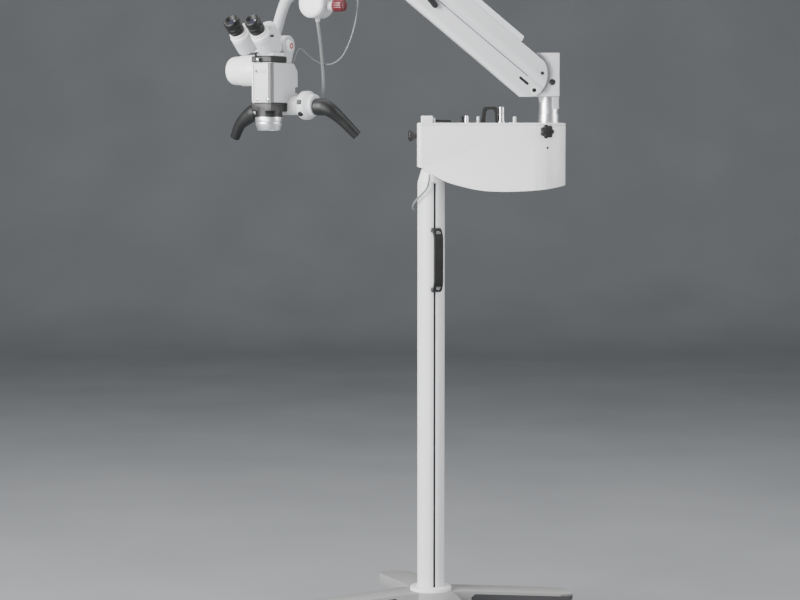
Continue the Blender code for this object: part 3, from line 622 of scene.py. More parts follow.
def build_column():
    flat = math.degrees(math.asin(10 / COLUMN_RADIUS))
    face = -COLUMN_RADIUS * math.cos(math.radians(flat))
    outside = arc((0, 0), COLUMN_RADIUS, -90 + flat, 270 - flat, 112)
    slot = [(-3, face), (-3, face + 2), (-6, face + 3), (-6, face + 7), (6, face + 7), (6, face + 3),
        (3, face + 2), (3, face)]
    length = COLUMN_HEAD - HUB - 2 * GAP
    slotted = turned_by(COLUMN, z=LEG_TURN)
    bore = helper("column_bore", rod_mesh(20, -900, 900, 64), slotted)
    middle = turned_by(slotted, at=(0, 0, HUB + GAP + length / 2))
    profile = plate("column_extrusion_fine", outside + slot, length, middle, COLUMN_PAINT, "stand", edge=0,
        cuts=(bore,))
    bake(profile)
    soften(profile, 0.5, 2, 50)
    strip_at = turned_by(slotted, at=(0, face + 5.6, HUB + GAP + length / 2))
    block("column_slot_strip", (11, 1.6, length - 4), strip_at, PANEL, "stand", edge=0.3, segments=2)
    for height, name in ((1092, "slot_nut_screw_1152"), (1048, "slot_nut_screw_1108")):
        screw(name, 2.6, turned_by(slotted, x=90, at=(0, face + 4.6, height)), "stand", BLACK, 1.5)
    neck = [(0, 1240), (20, 1240), (20, 1166), (24, 1165), (24.6, 1164.2), (34, 1133), (34.5, 1131.5),
        (34.5, 1129.8), (34, COLUMN_HEAD), (19.5, COLUMN_HEAD), (19.5, COLUMN_HEAD - 40),
        (0, COLUMN_HEAD - 40)]
    lathe("column_neck_fine", neck, COLUMN, WHITE, "stand", steps=96)


def build_column_handle():
    """A bow of black plastic on the column's slotted side, held by a screw at each end."""
    half = HANDLE_LENGTH / 2
    slope = math.radians(LEG_TURN - 90)
    reach = COLUMN_RADIUS * math.cos(math.asin(10 / COLUMN_RADIUS))
    foot = (reach * math.cos(slope), reach * math.sin(slope), HANDLE_HEIGHT)
    place = turned_by(COLUMN, x=90, z=LEG_TURN - 90, at=foot)
    outer = rounded([(0.3, -half), (22, 2 - half), (38, 22 - half), (38, half - 22), (22, half - 2),
        (0.3, half)], 14, 9)
    inner = rounded([(0.3, 12 - half), (19, 14 - half), (29, 27 - half), (29, half - 27), (19, half - 14),
        (0.3, half - 12)], 9, 9)
    gap = [(-2, 13 - half)] + inner[7:-7] + [(-2, half - 13)]
    hole = helper("handle_gap", plate_mesh("gap", gap, 60), place)
    bow = plate("column_handle_fine", outer, 24, place, SATIN, "stand", edge=0, cuts=(hole,))
    soften(bake(bow), 3.2, 4, 40)
    for height, name in ((-68.95, "lower"), (68.95, "upper")):
        centre = turned_by(place, y=90, at=(32, height, 0))
        profile = [(0, 1.2), (4.5, 1.1), (5.6, 0.8), (6, 0.2), (6, -2), (0, -2)]
        lathe("handle_screw_" + name, profile, centre, CHROME, "stand", steps=48)


# ------------------------------------------------------------------ carrier: housing, lid, what stands on it
HOUSING_LEFT = -36
HOUSING_NOSE_FROM = 262
HOUSING_RIGHT = 344
HOUSING_HALF_DEPTH = 65
HOUSING_WALL = 4
LID = 6
SPINDLE_X = 300
SPINDLE_RADIUS = 25


def housing_plan(inset):
    left = HOUSING_LEFT + inset
    depth = HOUSING_HALF_DEPTH - inset
    reach = HOUSING_RIGHT - HOUSING_NOSE_FROM - inset
    nose = [(HOUSING_NOSE_FROM + reach * x, depth * y) for x, y in arc((0, 0), 1, -90, 90, 61)]
    corner = 12 - inset / 2
    near = arc((left + corner, depth - corner), corner, 90, 180, 9)
    return nose + near + [(x, -y) for x, y in reversed(near)]


def housing_side(inset, top):
    left = HOUSING_LEFT + inset
    belly = [(left, 1170, 0), (-18, 1164, 0), (28, 1136, 0), (74, 1121, 0), (126, 1110, 0), (177, 1107, 0),
        (228, 1108, 0), (292, 1113, 0), (HOUSING_RIGHT + 20, 1127, 0)]
    curve = [(point.x, point.y + inset) for point in smooth_route(belly, 6)]
    return curve + [(HOUSING_RIGHT + 20, top), (left, top)]


def housing_form(name, inset, top):
    """The housing's outer form, or with an inset its hollow."""
    form = bpy.data.objects.new(name, plate_mesh(name, housing_side(inset, top), 2 * HOUSING_HALF_DEPTH + 4))
    bpy.context.scene.collection.objects.link(form)
    form.matrix_world = z_to_front(COLUMN)
    limit = helper(name + "_plan", plate_mesh("plan", housing_plan(inset), 400),
        turned_by(COLUMN, at=(0, 0, 1200)))
    return bake(shaped(form, 0, 0, limits=(limit,)))


def build_housing():
    shell = housing_form("housing_shell_fine", 0, HOUSING_TOP - LID - GAP)
    soften(shell, 5, 4, 50)
    bake(shell)
    hollow = housing_form("housing_hollow", HOUSING_WALL, HOUSING_TOP + 5)
    hollow.hide_render = True
    helpers.append(hollow)
    throat = [(0, 1175), (30, 1175), (30, 1150), (35.5, 1150), (35.5, 1100), (0, 1100)]
    neck_hole = lathe("throat", throat, COLUMN, WHITE, None)
    neck_hole.hide_render = True
    helpers.append(neck_hole)
    finish_shape(bake(shaped(shell, 0, 0, cuts=(hollow, neck_hole))), WHITE, "carrier")
    bore = helper("lid_bore", rod_mesh(SPINDLE_RADIUS + 1.5, -20, 20, 96),
        turned_by(COLUMN, at=(SPINDLE_X, 0, HOUSING_TOP)))
    lid_at = turned_by(COLUMN, at=(0, 0, HOUSING_TOP - LID / 2))
    lid = plate("housing_lid_fine", housing_plan(0), LID, lid_at, WHITE, "carrier", edge=0.7)
    bake(shaped(bake(lid), 0, 0, cuts=(bore,)))
    for x, depth in ((-24, 54), (92, 54), (200, 54), (318, 40)):
        for side in (1, -1):
            place = turned_by(COLUMN, at=(x, side * depth, HOUSING_TOP))
            screw(f"lid_screw_{x}_{side}".replace("-", "m"), 3, place, "carrier", height=1.4)
    for x in (130, 190):
        for slot in range(9):
            groove = turned_by(COLUMN, at=(x + slot * 6 - 24, HOUSING_HALF_DEPTH + 0.2, 1215))
            block(f"rear_vent_{x}_{slot}", (2.4, 1.0, 30), groove, PANEL, "carrier", edge=0.4, segments=2)
    screw("housing_side_screw", 3.2, z_to_front(COLUMN, (294, -59.6, 1218)), "carrier", BLACK, 1.4)


def build_lid_parts():
    """Connectors, sockets and the guard that stand on the lid."""
    top = HOUSING_TOP + GAP
    block("power_connector", (30, 36, 18.5), turned_by(COLUMN, at=(-11, 4, top + 9.25)), WHITE, "carrier",
        edge=2)
    block("connector_collar", (6, 28, 13), turned_by(COLUMN, at=(7.2, 4, top + 6.8)), WARM, "carrier")
    latch = rounded([(0, 0), (39, -2), (41, 1), (39, 4), (0, 5)], 2, 5)
    plate("connector_latch", latch, 14, z_to_front(COLUMN, (10.6, 4, top + 4)), SATIN, "carrier")
    socket = [(4.2, 0), (5.2, 0), (5.2, 15), (4.8, 18.5), (3.4, 18.8), (3.2, 10), (4.2, 9)]
    lathe("signal_socket", socket, turned_by(COLUMN, at=(90, -8, top)), CHROME, "carrier", ring=True,
        steps=48)
    post = [(0, 17), (3.2, 17), (4.4, 15.6), (4.4, 3), (6, 2), (6, 0), (0, 0)]
    lathe("lid_post_near", post, turned_by(COLUMN, at=(121, 6, top)), WHITE, "carrier", steps=48)
    lathe("lid_post_far", post, turned_by(COLUMN, at=(214, 4, top)), WHITE, "carrier", steps=48)
    guard = rounded([(126, top), (131, 1318), (136, 1323), (165, 1323), (169.5, 1318), (169.5, top),
        (163.5, top), (162, 1311), (158, 1316), (145, 1316), (141, 1311), (137.5, top)], 3.5, 6)
    plate("cable_guard_fine", guard, 16, z_to_front(COLUMN), SATIN, "carrier", edge=1.4)
    plug = [(0, 41.5), (6, 41.5), (8, 40), (8, 25), (7.2, 24.4), (7.2, 23.4), (8, 22.8), (8, 6), (9.5, 5),
        (9.5, 0), (0, 0)]
    lathe("light_guide_plug", plug, turned_by(COLUMN, at=(179.4, 2, top)), ALLOY, "carrier", edge=0.3)
    bearing = [(SPINDLE_RADIUS + 0.3, 0), (28, 0), (28, 1.6), (26.2, 2.4), (26.2, 22.6), (25.9, 23.4),
        (SPINDLE_RADIUS + 0.3, 23.4)]
    lathe("spindle_bearing", bearing, turned_by(COLUMN, at=(SPINDLE_X, 0, top)), ALLOY, "carrier",
        ring=True, steps=128)
    inlet = [(-12, -9), (12, -9), (12, 9), (-12, 9)]
    plate("mains_inlet", rounded(inlet, 3, 5), 3, z_to_back(COLUMN, (20, HOUSING_HALF_DEPTH + 1.6, 1225)),
        BLACK, "carrier", edge=0.6)
    for pin in (0, 6, 12):
        place = turned_by(COLUMN, at=(14 + pin, HOUSING_HALF_DEPTH + 3, 1225))
        block(f"inlet_pin_{pin}", (2, 3.6, 4), place, ALLOY, "carrier", edge=0.4, segments=2)


def build_knobs():
    lobes = [(0, 23), (9, 22.8), (13, 21.6), (15.2, 19), (15.5, 16), (14.6, 12.6), (11, 9), (8, 5.6),
        (7, 3), (6.6, 0.4), (0, 0.4)]
    left = z_to_left(COLUMN, (HOUSING_LEFT, 0, 1249))
    lathe("column_lock_knob_fine", lobes, left, SATIN, "column_lock", steps=140, ribs=(7, 2.0, 10))
    star = [(0, 82), (5, 82), (5.5, 81), (14, 81), (16.6, 80), (18, 78), (18, 73), (16.5, 70.4), (12, 69),
        (8, 68), (7, 66), (7, 62.6), (0, 62.6)]
    lathe("spindle_lock_knob_fine", star, z_to_front(COLUMN, (292, 0, 1259)), SATIN, "spindle_lock",
        steps=168, ribs=(7, 3.0, 12))
    dial = [(0, 18.6), (3.9, 18.6), (4.5, 18), (4.9, 8), (5.5, 7), (5.5, 0.4), (0, 0.4)]
    lathe("brightness_knob_fine", dial, turned_by(COLUMN, at=(78, 0, HOUSING_TOP)), SATIN, "dimmer",
        steps=144, ribs=(18, 0.45, 4))
    rocker = arc((0, -9), 12, 35, 145, 25)
    plate("power_switch_fine", rocker, 11, turned_by(COLUMN, y=-90, at=(60, HOUSING_HALF_DEPTH + 4, 1225)),
        BLACK, "rocker", edge=0.8)


# ------------------------------------------------------------------ spindle and its bracket
ARM_END_RADIUS = 66
ARM_WIDTH = 70
CHEEK = 14
TONGUE_HALF = ARM_WIDTH / 2 - CHEEK - 0.7
PIN_RADIUS = 9
BRACKET_BOTTOM = 1349
BRACKET_TOP = 1459


def build_spindle():
    profile = [(0, BRACKET_BOTTOM - GAP), (24.4, BRACKET_BOTTOM - GAP),
        (SPINDLE_RADIUS, BRACKET_BOTTOM - 1.2), (SPINDLE_RADIUS, 1309), (24.6, 1308.6), (24.6, 1306.8),
        (SPINDLE_RADIUS, 1306.4), (SPINDLE_RADIUS, HOUSING_TOP - 2), (20, HOUSING_TOP - 4), (20, 1170),
        (0, 1170)]
    lathe("spindle_tube_fine", profile, SPINDLE, ALLOY, "spindle", steps=96)
    at = pivot("arm_lift") - SPINDLE.translation
    centre = (at.x / MM, at.z / MM)
    reach = ARM_END_RADIUS + 1
    high = math.degrees(math.asin((BRACKET_TOP - centre[1]) / reach))
    low = math.degrees(math.asin((BRACKET_BOTTOM - centre[1]) / reach))
    side = arc(centre, reach, low, high, 40) + [(26, BRACKET_TOP), (26, BRACKET_BOTTOM)]
    bracket = plate("arm_bracket_fine", side, 54, z_to_front(SPINDLE), GREY, "spindle", edge=2.4, segments=4)
    bake(bracket)
    tongue = arc(centre, 24, 100, 260, 40) + [(10, centre[1] - 40), (10, centre[1] + 40)]
    pin = helper("pin_bore", rod_mesh(PIN_RADIUS + 0.4, -40, 40, 64),
        z_to_front(SPINDLE, (centre[0], 0, centre[1])))
    middle = helper("tongue", plate_mesh("tongue", tongue, 2 * TONGUE_HALF), z_to_front(SPINDLE))
    bake(shaped(bracket, 0, 0, joins=(middle,), cuts=(pin,)))
    wrap = arc((0, 0), 26.8, -72, 30, 33) + list(reversed(arc((0, 0), 25.3, -72, 30, 33)))
    plate("bracket_tongue_strip", wrap, 31, turned_by(SPINDLE, at=(0, 0, BRACKET_BOTTOM - 16)), GREY,
        "spindle", edge=0.5)
    rim = [(6.6, -0.4), (8, -0.4), (8, 0.5), (7.6, 0.8), (6.6, 0.8)]
    screw_at = z_to_front(SPINDLE, (8, -27, 1385))
    lathe("bracket_screw_rim", rim, screw_at, BLACK, "spindle", ring=True)
    screw("bracket_screw", 6.4, screw_at, "spindle", DARK_STEEL, 1.6)


# ------------------------------------------------------------------ spring arm: own X up the arm, Y to the front
ARM_FLOOR = -44
ARM_SEAM = 6.5
ARM_ROOF = 62
COVER_TOP = 77
SPRING_TURNS = 22
SPRING_RADIUS = 11.4
SPRING_HEIGHT = 34


def arm_side(low, high):
    lower = math.degrees(math.asin(low / ARM_END_RADIUS))
    upper = math.degrees(math.asin(high / ARM_END_RADIUS))
    near = arc((0, 0), ARM_END_RADIUS, 180 - upper, 180 - lower, 40)
    far = arc((ARM_LENGTH, 0), ARM_END_RADIUS, lower, upper, 40)
    return near + far


def arm_section(low, high, low_chamfer, high_chamfer):
    """The arm's cross-section, with its lower or upper edges chamfered by (across, up)."""
    half = ARM_WIDTH / 2
    x, z = low_chamfer
    u, w = high_chamfer
    return [(-half + x, low), (half - x, low), (half, low + z), (half, high - w), (half - u, high),
        (-half + u, high), (-half, high - w), (-half, low + z)]


def build_arm():
    room = ARM_WIDTH - 2 * CHEEK
    slots = [helper("arm_room", block_mesh((160, room, 200)), turned_by(ARM, at=(x, 0, 10)))
        for x in (-16, ARM_LENGTH + 16)]
    hollow = helper("arm_hollow", block_mesh((ARM_LENGTH, room, 88)),
        turned_by(ARM, at=(ARM_LENGTH / 2, 0, 9)))
    bores = [helper("pin_bore", rod_mesh(PIN_RADIUS + 0.4, -34.3, 34.3, 64), z_to_front(ARM, (x, 0, 0)))
        for x in (0, ARM_LENGTH)]
    pivot_at = SPINDLE.inverted() @ ARM.translation / MM
    heel = helper("heel_cut", block_mesh((300, 200, 100)), turned_by(SPINDLE,
        at=(pivot_at.x, 0, BRACKET_BOTTOM + GAP - 50)))
    for name, low, high, below, above in (("arm_lower_shell", ARM_FLOOR, ARM_SEAM, (6, 15), (0.8, 0.8)),
            ("arm_upper_shell", ARM_SEAM + GAP, ARM_ROOF, (0.8, 0.8), (0.8, 0.8))):
        bar = plate_mesh("section", arm_section(low, high, below, above), 900)
        section = helper(name + "_section", bar, turned_by(ARM, x=90, z=90, at=(ARM_LENGTH / 2, 0, 0)))
        shell = plate(name + "_fine", arm_side(low, high), ARM_WIDTH, z_to_front(ARM), GREY, "arm", edge=0,
            limits=(section,), cuts=(heel,))
        bake(soften(shell, 1.2, 3, 25))
        bake(shaped(shell, 0, 0, cuts=[hollow] + slots + bores))
    cover = rounded([(53, ARM_ROOF + GAP), (56, COVER_TOP), (ARM_LENGTH - 80, COVER_TOP),
        (ARM_LENGTH - 70, ARM_ROOF + GAP)], 4, 6)
    plate("arm_top_cover_fine", cover, ARM_WIDTH - 1, z_to_front(ARM), GREY, "arm", edge=1.4, segments=4)
    front = ARM_WIDTH / 2
    face = turned_by(ARM, x=-90, at=(0, front, 0))
    screw("arm_side_screw", 4.6, turned_by(ARM, x=-90, at=(-39, front, 36)), "arm", BLACK, 1.2)
    rim = [(5.8, -0.4), (8.6, -0.4), (8.6, 0.6), (8, 1), (6.4, 1), (5.8, 0.6)]
    adjuster = turned_by(ARM, x=-90, at=(-51, front, -10.5))
    lathe("arm_adjuster_rim", rim, adjuster, WHITE, "arm", ring=True)
    screw("arm_adjuster_screw", 5.6, adjuster, "arm", BLACK, 1.4)
    slot = rounded([(-15, -3.4), (15, -3.4), (15, 3.4), (-15, 3.4)], 3.3, 9)
    plate("arm_tension_slot", slot, 1.0, turned_by(face, x=180, at=(-15.3, 8.9, 0.2)), BLACK, "arm",
        edge=0.3, segments=2)
    block("arm_seam_gasket", (ARM_LENGTH - 5, ARM_WIDTH + 0.8, 2.2),
        turned_by(ARM, at=((ARM_LENGTH - 5) / 2 - 15, 0, ARM_SEAM + 0.15)), PANEL, "arm", edge=0.3,
        segments=2, cuts=[hollow] + slots)
    inside = arc((0, 0), ARM_END_RADIUS + 0.8, -42, 52, 60)
    shade = arc((0, 0), ARM_END_RADIUS + 5, -42, 52, 60) + inside[::-1]
    upright_arm = axes(ARM.translation, (1, 0, 0), UP)
    plate("bracket_clearance_shadow", shade, 0.6, z_to_front(upright_arm, (0, -front - 0.1, 0)), DARK_TRIM_AND_SHADE,
        "spindle", edge=0.1, segments=2)
    pin = [(0, 34), (8.2, 34), (PIN_RADIUS, 33.2), (PIN_RADIUS, -33.2), (8.2, -34), (0, -34)]
    lathe("lower_pivot_pin_fine", pin, z_to_front(ARM), CHROME, "arm")
    helix = []
    steps = SPRING_TURNS * 24
    for step in range(steps + 1):
        angle = math.tau * SPRING_TURNS * step / steps
        across = SPRING_RADIUS * math.cos(angle)
        up = SPRING_HEIGHT + SPRING_RADIUS * math.sin(angle)
        helix.append(Vector((105 + 253 * step / steps, across, up)))
    tube("balance_spring_fine", helix, [2.4] * len(helix), ARM, CHROME, "arm", sides=12)
    core = [(0, 455), (4.4, 455), (5, 454), (5, 366), (8.6, 364), (8.6, 98), (5, 96), (5, 86), (4.4, 85),
        (0, 85)]
    lathe("spring_core", core, z_to_x(ARM, (0, 0, SPRING_HEIGHT)), CHROME, "arm", steps=48)
    brake = turned_by(ARM, at=(345, ARM_WIDTH / 2 + 6.5, 5))
    lever = arc((0, 0), 9, -90, 90, 25) + arc((-66, 0), 7.5, 90, 270, 25)
    plate("arm_brake_lever_fine", lever, 11, turned_by(brake, x=90, y=-12), SATIN, "brake", edge=2.6,
        segments=4)
    rod_at = pivot("rod_swing")
    linkage = Matrix.Translation(rod_at) @ ARM.to_3x3().to_4x4()
    rod = [(0, ARM_LENGTH - 60), (4.4, ARM_LENGTH - 60), (5, ARM_LENGTH - 61), (5, 61), (4.4, 60), (0, 60)]
    lathe("parallel_rod_fine", rod, z_to_x(linkage, (0, 0, 4)), CHROME, "linkage", steps=48)


# ------------------------------------------------------------------ knuckle and head
SLEEVE_BOTTOM = 1700
SLEEVE_TOP = 1802
DROP_RADIUS = 17
YOKE_BOTTOM = 1648
YOKE_TOP = 1668
YOKE_LEG = 24


def build_knuckle():
    centre = (KNUCKLE.translation - HEAD.translation) / MM
    reach = -centre.x
    low = SLEEVE_BOTTOM - centre.z
    high = SLEEVE_TOP - centre.z
    sleeve_at = turned_by(KNUCKLE, at=(reach, 0, 0))
    outline = arc((0, 0), 24, -80, 80, 40) + [(reach + 21, 30), (reach + 21, -30)]
    body = plate("front_knuckle_fine", outline, 2 * TONGUE_HALF, z_to_front(KNUCKLE), GREY, "knuckle",
        edge=2.5, segments=4)
    bake(body)
    ring = helper("sleeve", rod_mesh(27, low, high, 96), sleeve_at)
    trunnion = helper("trunnion", rod_mesh(PIN_RADIUS, -34, 34, 64), z_to_front(KNUCKLE))
    shaft = helper("shaft_bore", rod_mesh(DROP_RADIUS + 0.4, -200, 200, 96), sleeve_at)
    bake(shaped(body, 0, 0, joins=(ring, trunnion), cuts=(shaft,)))


def build_head():
    top = SLEEVE_TOP + GAP
    shaft = [(0, top + 7.7), (20, top + 7.7), (21.2, top + 7.2), (22, top + 6), (22, top),
        (DROP_RADIUS, top), (DROP_RADIUS, YOKE_TOP + GAP), (0, YOKE_TOP + GAP)]
    lathe("drop_spindle_fine", shaft, HEAD, ALLOY, "head", steps=96)
    side = [(-22, YOKE_TOP), (-22, YOKE_BOTTOM), (YOKE_LEG, YOKE_BOTTOM), (YOKE_LEG, 1568),
        (YOKE_LEG + 18, 1568), (YOKE_LEG + 18, YOKE_TOP - 8), (YOKE_LEG + 10, YOKE_TOP)]
    yoke = plate("pendulum_yoke_fine", side, 38, side_on(HEAD), GREY, "head", edge=2.5, segments=4)
    bake(yoke)
    axle = helper("yoke_axle", rod_mesh(10, -26, YOKE_LEG + 10, 64), z_to_back(PENDULUM))
    bake(shaped(yoke, 0, 0, joins=(axle,)))


# ------------------------------------------------------------------ pendulum and C-shaped arm
PENDULUM_RADIUS = 37.5
TILT_Z = 1477
TILT_Y = 58


def build_pendulum():
    edge = PENDULUM_RADIUS
    shell = [(edge - 3, -32), (edge - 0.8, -31), (edge, -29), (edge, -18), (edge - 0.9, -17.6),
        (edge - 0.9, -16.6), (edge, -16.2), (edge, 19), (edge - 0.8, 21.2), (edge - 3, 22), (10.4, 22),
        (10.4, -32)]
    lathe("pendulum_housing_fine", [(radius, -height) for radius, height in shell], z_to_front(PENDULUM),
        GREY, "pendulum", ring=True, steps=112)
    cap = [(0, 35.4), (20, 35.2), (31, 34.6), (33.6, 33.8), (34.3, 32.3), (30, 32.3), (30, 33), (0, 33)]
    lathe("pendulum_cap", cap, z_to_front(PENDULUM), WHITE, "pendulum", steps=96)
    route = [(-24, TILT_Y, TILT_Z + 20), (-24, 72, 1520), (-24, 92, 1560), (-23, 112, 1594),
        (-12, 124, 1611), (6, 127, 1614), (26, 122, 1607), (42, 116, 1596)]
    offset = (SCOPE.inverted() @ PENDULUM.translation) / MM
    points = [Vector(point) - offset for point in smooth_route(route, 10)]
    strut = tube("c_arm_fine", points, [14] * len(points), PENDULUM, GREY, "pendulum", sides=56)
    hub_at = z_to_x(PENDULUM, Vector((-9.5, TILT_Y, TILT_Z)) - offset)
    hub = helper("c_arm_hub", rod_mesh(25, -27, 0, 96), hub_at)
    room = helper("housing_room", rod_mesh(PENDULUM_RADIUS + GAP, -45, 45, 112), z_to_front(PENDULUM))
    bake(shaped(strut, 0, 0, joins=(hub,), cuts=(room,)))
    soften(strut, 1.6, 3, 45)
    cover = [(0, 1.2), (16, 1.2), (18, 0.6), (18.4, 0.1), (18.4, -1), (0, -1)]
    cover_at = z_to_left(PENDULUM, Vector((-36.5, TILT_Y, TILT_Z)) - offset)
    lathe("c_arm_hub_cover", cover, cover_at, WHITE, "pendulum")
    knob = [(0, 84), (9, 84), (11.8, 83.4), (14, 82), (15.2, 79.4), (15.4, 76), (15.4, 56), (14.8, 53.4),
        (13.4, 52), (9.4, 51.6), (8, 51.4), (8, 38.1), (0, 38.1)]
    lock = z_to_x(PENDULUM, (0, -4, -7))
    neck = [(8.3, 37.2), (12, 37.2), (12, 48.6), (11.4, 50.6), (10.4, 51.2), (8.3, 51.2)]
    lathe("pendulum_lock_neck", neck, lock, GREY, "pendulum_lock", ring=True)
    lathe("pendulum_lock_knob_fine", knob, lock, RED, "pendulum_lock", steps=180, ribs=(18, 0.7, 13))
    gland = [(4.7, -4), (6.6, -4), (6.6, 3), (6.2, 4.4), (5.4, 8), (4.7, 8)]
    exit_at = COLUMN @ (Vector(LIGHT_GUIDE_ROUTE[0]) * MM)
    lathe("light_guide_gland", gland, axes(exit_at, ACROSS, (0, 0, -1)), WARM, "pendulum", ring=True,
        steps=48)


# ------------------------------------------------------------------ microscope
BODY_HALF = 31
BODY_FRONT = -33
BODY_BACK = 88
BODY_BOTTOM = 1331.3
BODY_TOP = 1433.5
FOCUS_TOP = 1295.7
FOCUS_BOTTOM = 1262
BAR_RADIUS = 24
CORNER_SHADE_LENGTH = 99


def build_optics():
    side = [(BODY_FRONT, BODY_BOTTOM), (BODY_BACK, BODY_BOTTOM), (BODY_BACK, BODY_TOP - 20),
        (BODY_BACK - 16, BODY_TOP), (BODY_FRONT, BODY_TOP)]
    saddle = helper("bar_saddle", rod_mesh(BAR_RADIUS + 0.4, -120, 20, 96), z_to_x(BAR_RIGHT))
    body = plate("optics_body_fine", side, 2 * BODY_HALF, side_on(SCOPE), GREY, "microscope", edge=4.5,
        segments=5)
    bake(body)
    bake(shaped(body, 0, 0, cuts=(saddle,)))
    badge = rounded([(-18, -4.5), (14, -4.5), (14, 4.5), (-18, 4.5)], 1.5, 4)
    plate("blank_badge", badge, 1.0, z_to_front(SCOPE, (0, BODY_FRONT - 0.7, 1411)), WARM, "microscope",
        edge=0.4, segments=2)
    mark = rounded([(-17, -3.2), (-12, -3.2), (-12, 3.2), (-17, 3.2)], 1.5, 4)
    plate("blank_badge_mark", mark, 0.6, z_to_front(SCOPE, (0, BODY_FRONT - 1.3, 1411)), PANEL,
        "microscope", edge=0.2, segments=2)
    for index, across in enumerate((-12, 19)):
        rim = [(3.4, 0), (4.6, 0), (4.6, 0.6), (4.2, 0.9), (3.4, 0.9)]
        place = z_to_front(SCOPE, (across, BODY_FRONT, 1341))
        lathe(f"body_screw_rim_{index}", rim, place, DARK_TRIM_AND_SHADE, "microscope", ring=True, steps=48)
        screw(f"body_front_screw_{index}", 3.2, place, "microscope", CHROME, 1.4)
    screw("body_marker_screw", 2.2, z_to_front(SCOPE, (23, BODY_FRONT, 1421)), "microscope", BLACK, 1.0)
    # A white strip on the grey body's left front edge is a painted highlight, where the rounded edge catches the
    # light.
    highlight_strip = rounded([(0, 0), (3.2, 0), (3.2, 90), (0, 90)], 1, 4)
    plate("body_left_trim", highlight_strip, 2.2, z_to_front(SCOPE, (-BODY_HALF + 5, BODY_FRONT - 1.3, 1338)),
        WHITE, "microscope", edge=0.5, segments=2)
    latch = rounded([(-2, 0), (8, 0), (8, 16), (-2, 16)], 3, 5)
    plate("body_side_latch", latch, 2.4, turned_by(SCOPE, x=90, z=90, at=(BODY_HALF + 1.3, 76, 1357)),
        DARK_TRIM_AND_SHADE, "microscope", edge=0.7)
    # A dark band round the right front corner is painted shade on that rounded edge.
    corner = [(0, -CORNER_SHADE_LENGTH / 2), (7, -CORNER_SHADE_LENGTH / 2), (7.6, 0.6 - CORNER_SHADE_LENGTH / 2),
        (7.6, CORNER_SHADE_LENGTH / 2 - 0.6), (7, CORNER_SHADE_LENGTH / 2), (0, CORNER_SHADE_LENGTH / 2)]
    corner_shade_at = turned_by(SCOPE, at=(BODY_HALF - 6.6, BODY_FRONT + 6.6, (BODY_BOTTOM + BODY_TOP) / 2))
    lathe("body_corner_band", corner, corner_shade_at, DARK_TRIM_AND_SHADE, "microscope", steps=96)
    block_top = BODY_BOTTOM - GAP
    bore = helper("light_path", rod_mesh(26, 1200, 1400, 96), SCOPE)
    mount = block("objective_mount_fine", (2 * BODY_HALF, 71, 21),
        turned_by(SCOPE, at=(0, 2.5, block_top - 10.5)), SATIN, "microscope", edge=2, segments=4)
    bake(mount)
    nose = helper("mount_nose", rod_mesh(34.5, FOCUS_TOP + GAP, block_top - 10, 96), SCOPE)
    bake(shaped(mount, 0, 0, joins=(nose,), cuts=(bore,)))
    deck = turned_by(SCOPE, at=(0, 2.5, BODY_TOP + GAP + 7.75))
    block("tube_mount_plate_fine", (2 * BODY_HALF, 71, 15.5), deck, SATIN, "microscope", edge=2.6,
        segments=4)
    # The tilt block's grey is painted shade: it takes a darker paint than its white end cap because its side
    # lies in shade.
    low = BODY_TOP + GAP - TILT_Z
    tilt = arc((0, 0), 27, -45, 225, 64) + [(-19, low), (13, low)]
    tilt_at = turned_by(TILT, at=(7.5, 0, 0))
    plate("tilt_block_fine", tilt, 33, side_on(tilt_at), GREY, "microscope", edge=3.4, segments=4)
    cap = [(0, 9.4), (9, 9.2), (13, 8), (15.4, 5.4), (16, 2.6), (16, GAP), (0, GAP)]
    lathe("tilt_end_cap", cap, z_to_x(TILT, (24, -4, 0)), WHITE, "microscope", steps=96)
    mark = [(4, 8.6), (7.6, 8.6), (7.8, 9), (7.6, 9.9), (4, 9.9), (3.8, 9.4)]
    lathe("tilt_red_mark", mark, z_to_x(TILT, (24, -4, 0)), MARK, "microscope", ring=True)
    foot = turned_by(SCOPE, at=(4, 4, BODY_TOP + GAP + 15.5))
    block("tube_foot_band", (50, 52, 9), turned_by(foot, at=(0, 0, 4.7)), WHITE, "microscope", edge=1.6)
    block("tube_foot_shadow", (24, 30, 17), turned_by(foot, at=(-22, -9, 8.7)), BLACK, "microscope", edge=1.6)
    camera = [(0, 142), (12, 142), (22, 141.2), (28, 139.4), (32, 136.4), (34.8, 132), (36.2, 126),
        (36.5, 119), (36.5, 105), (36.9, 104.2), (39.2, 103.2), (39.5, 102), (39.5, 72), (39, 71.6),
        (39, 70.2), (39.5, 69.8), (39.5, 33.5), (38.5, BODY_HALF + GAP), (0, BODY_HALF + GAP)]
    lathe("camera_housing_fine", camera, turned_by(SCOPE, y=-90, at=(0, 35, 1416)), WHITE, "microscope",
        steps=112)


def build_focus():
    ring = [(34.5, FOCUS_TOP), (34.5, 1285), (34.1, 1284), (33, 1283), (33, 1279.2), (33.6, 1278.4),
        (34, 1277.4), (33.4, 1275.6), (28.8, 1263), (28, FOCUS_BOTTOM), (25, FOCUS_BOTTOM), (25, FOCUS_TOP)]
    lathe("focus_ring_fine", ring, SCOPE, BRUSHED, "focus", ring=True, steps=288, ribs=(96, 0.12, 34.4))
    glass = [(0, 1279), (6, 1278.8), (12, 1277.7), (18, 1275.8), (24.4, 1273), (24.4, 1267), (18, 1267.6),
        (9, 1268.2), (0, 1268.4)]
    lathe("objective_lens_fine", glass, SCOPE, GLASS, "lens", steps=96)
    ball = [(0, 13), (1.8, 12.8), (3.4, 12), (4.5, 10.4), (4.8, 8.6), (4.4, 6.8), (3.4, 5.2), (2.5, 4.2),
        (2.5, GAP), (0, GAP)]
    lathe("tube_clamp_screw_fine", ball, z_to_front(SCOPE, (-5, BODY_FRONT, BODY_TOP + 7)), CHROME,
        "tube_clamp", steps=48)


def between(values, steps):
    """The values with evenly spaced steps between each two."""
    out = []
    for start, stop in zip(values, values[1:]):
        out += [start + (stop - start) * step / steps for step in range(steps)]
    return out + [values[-1]]


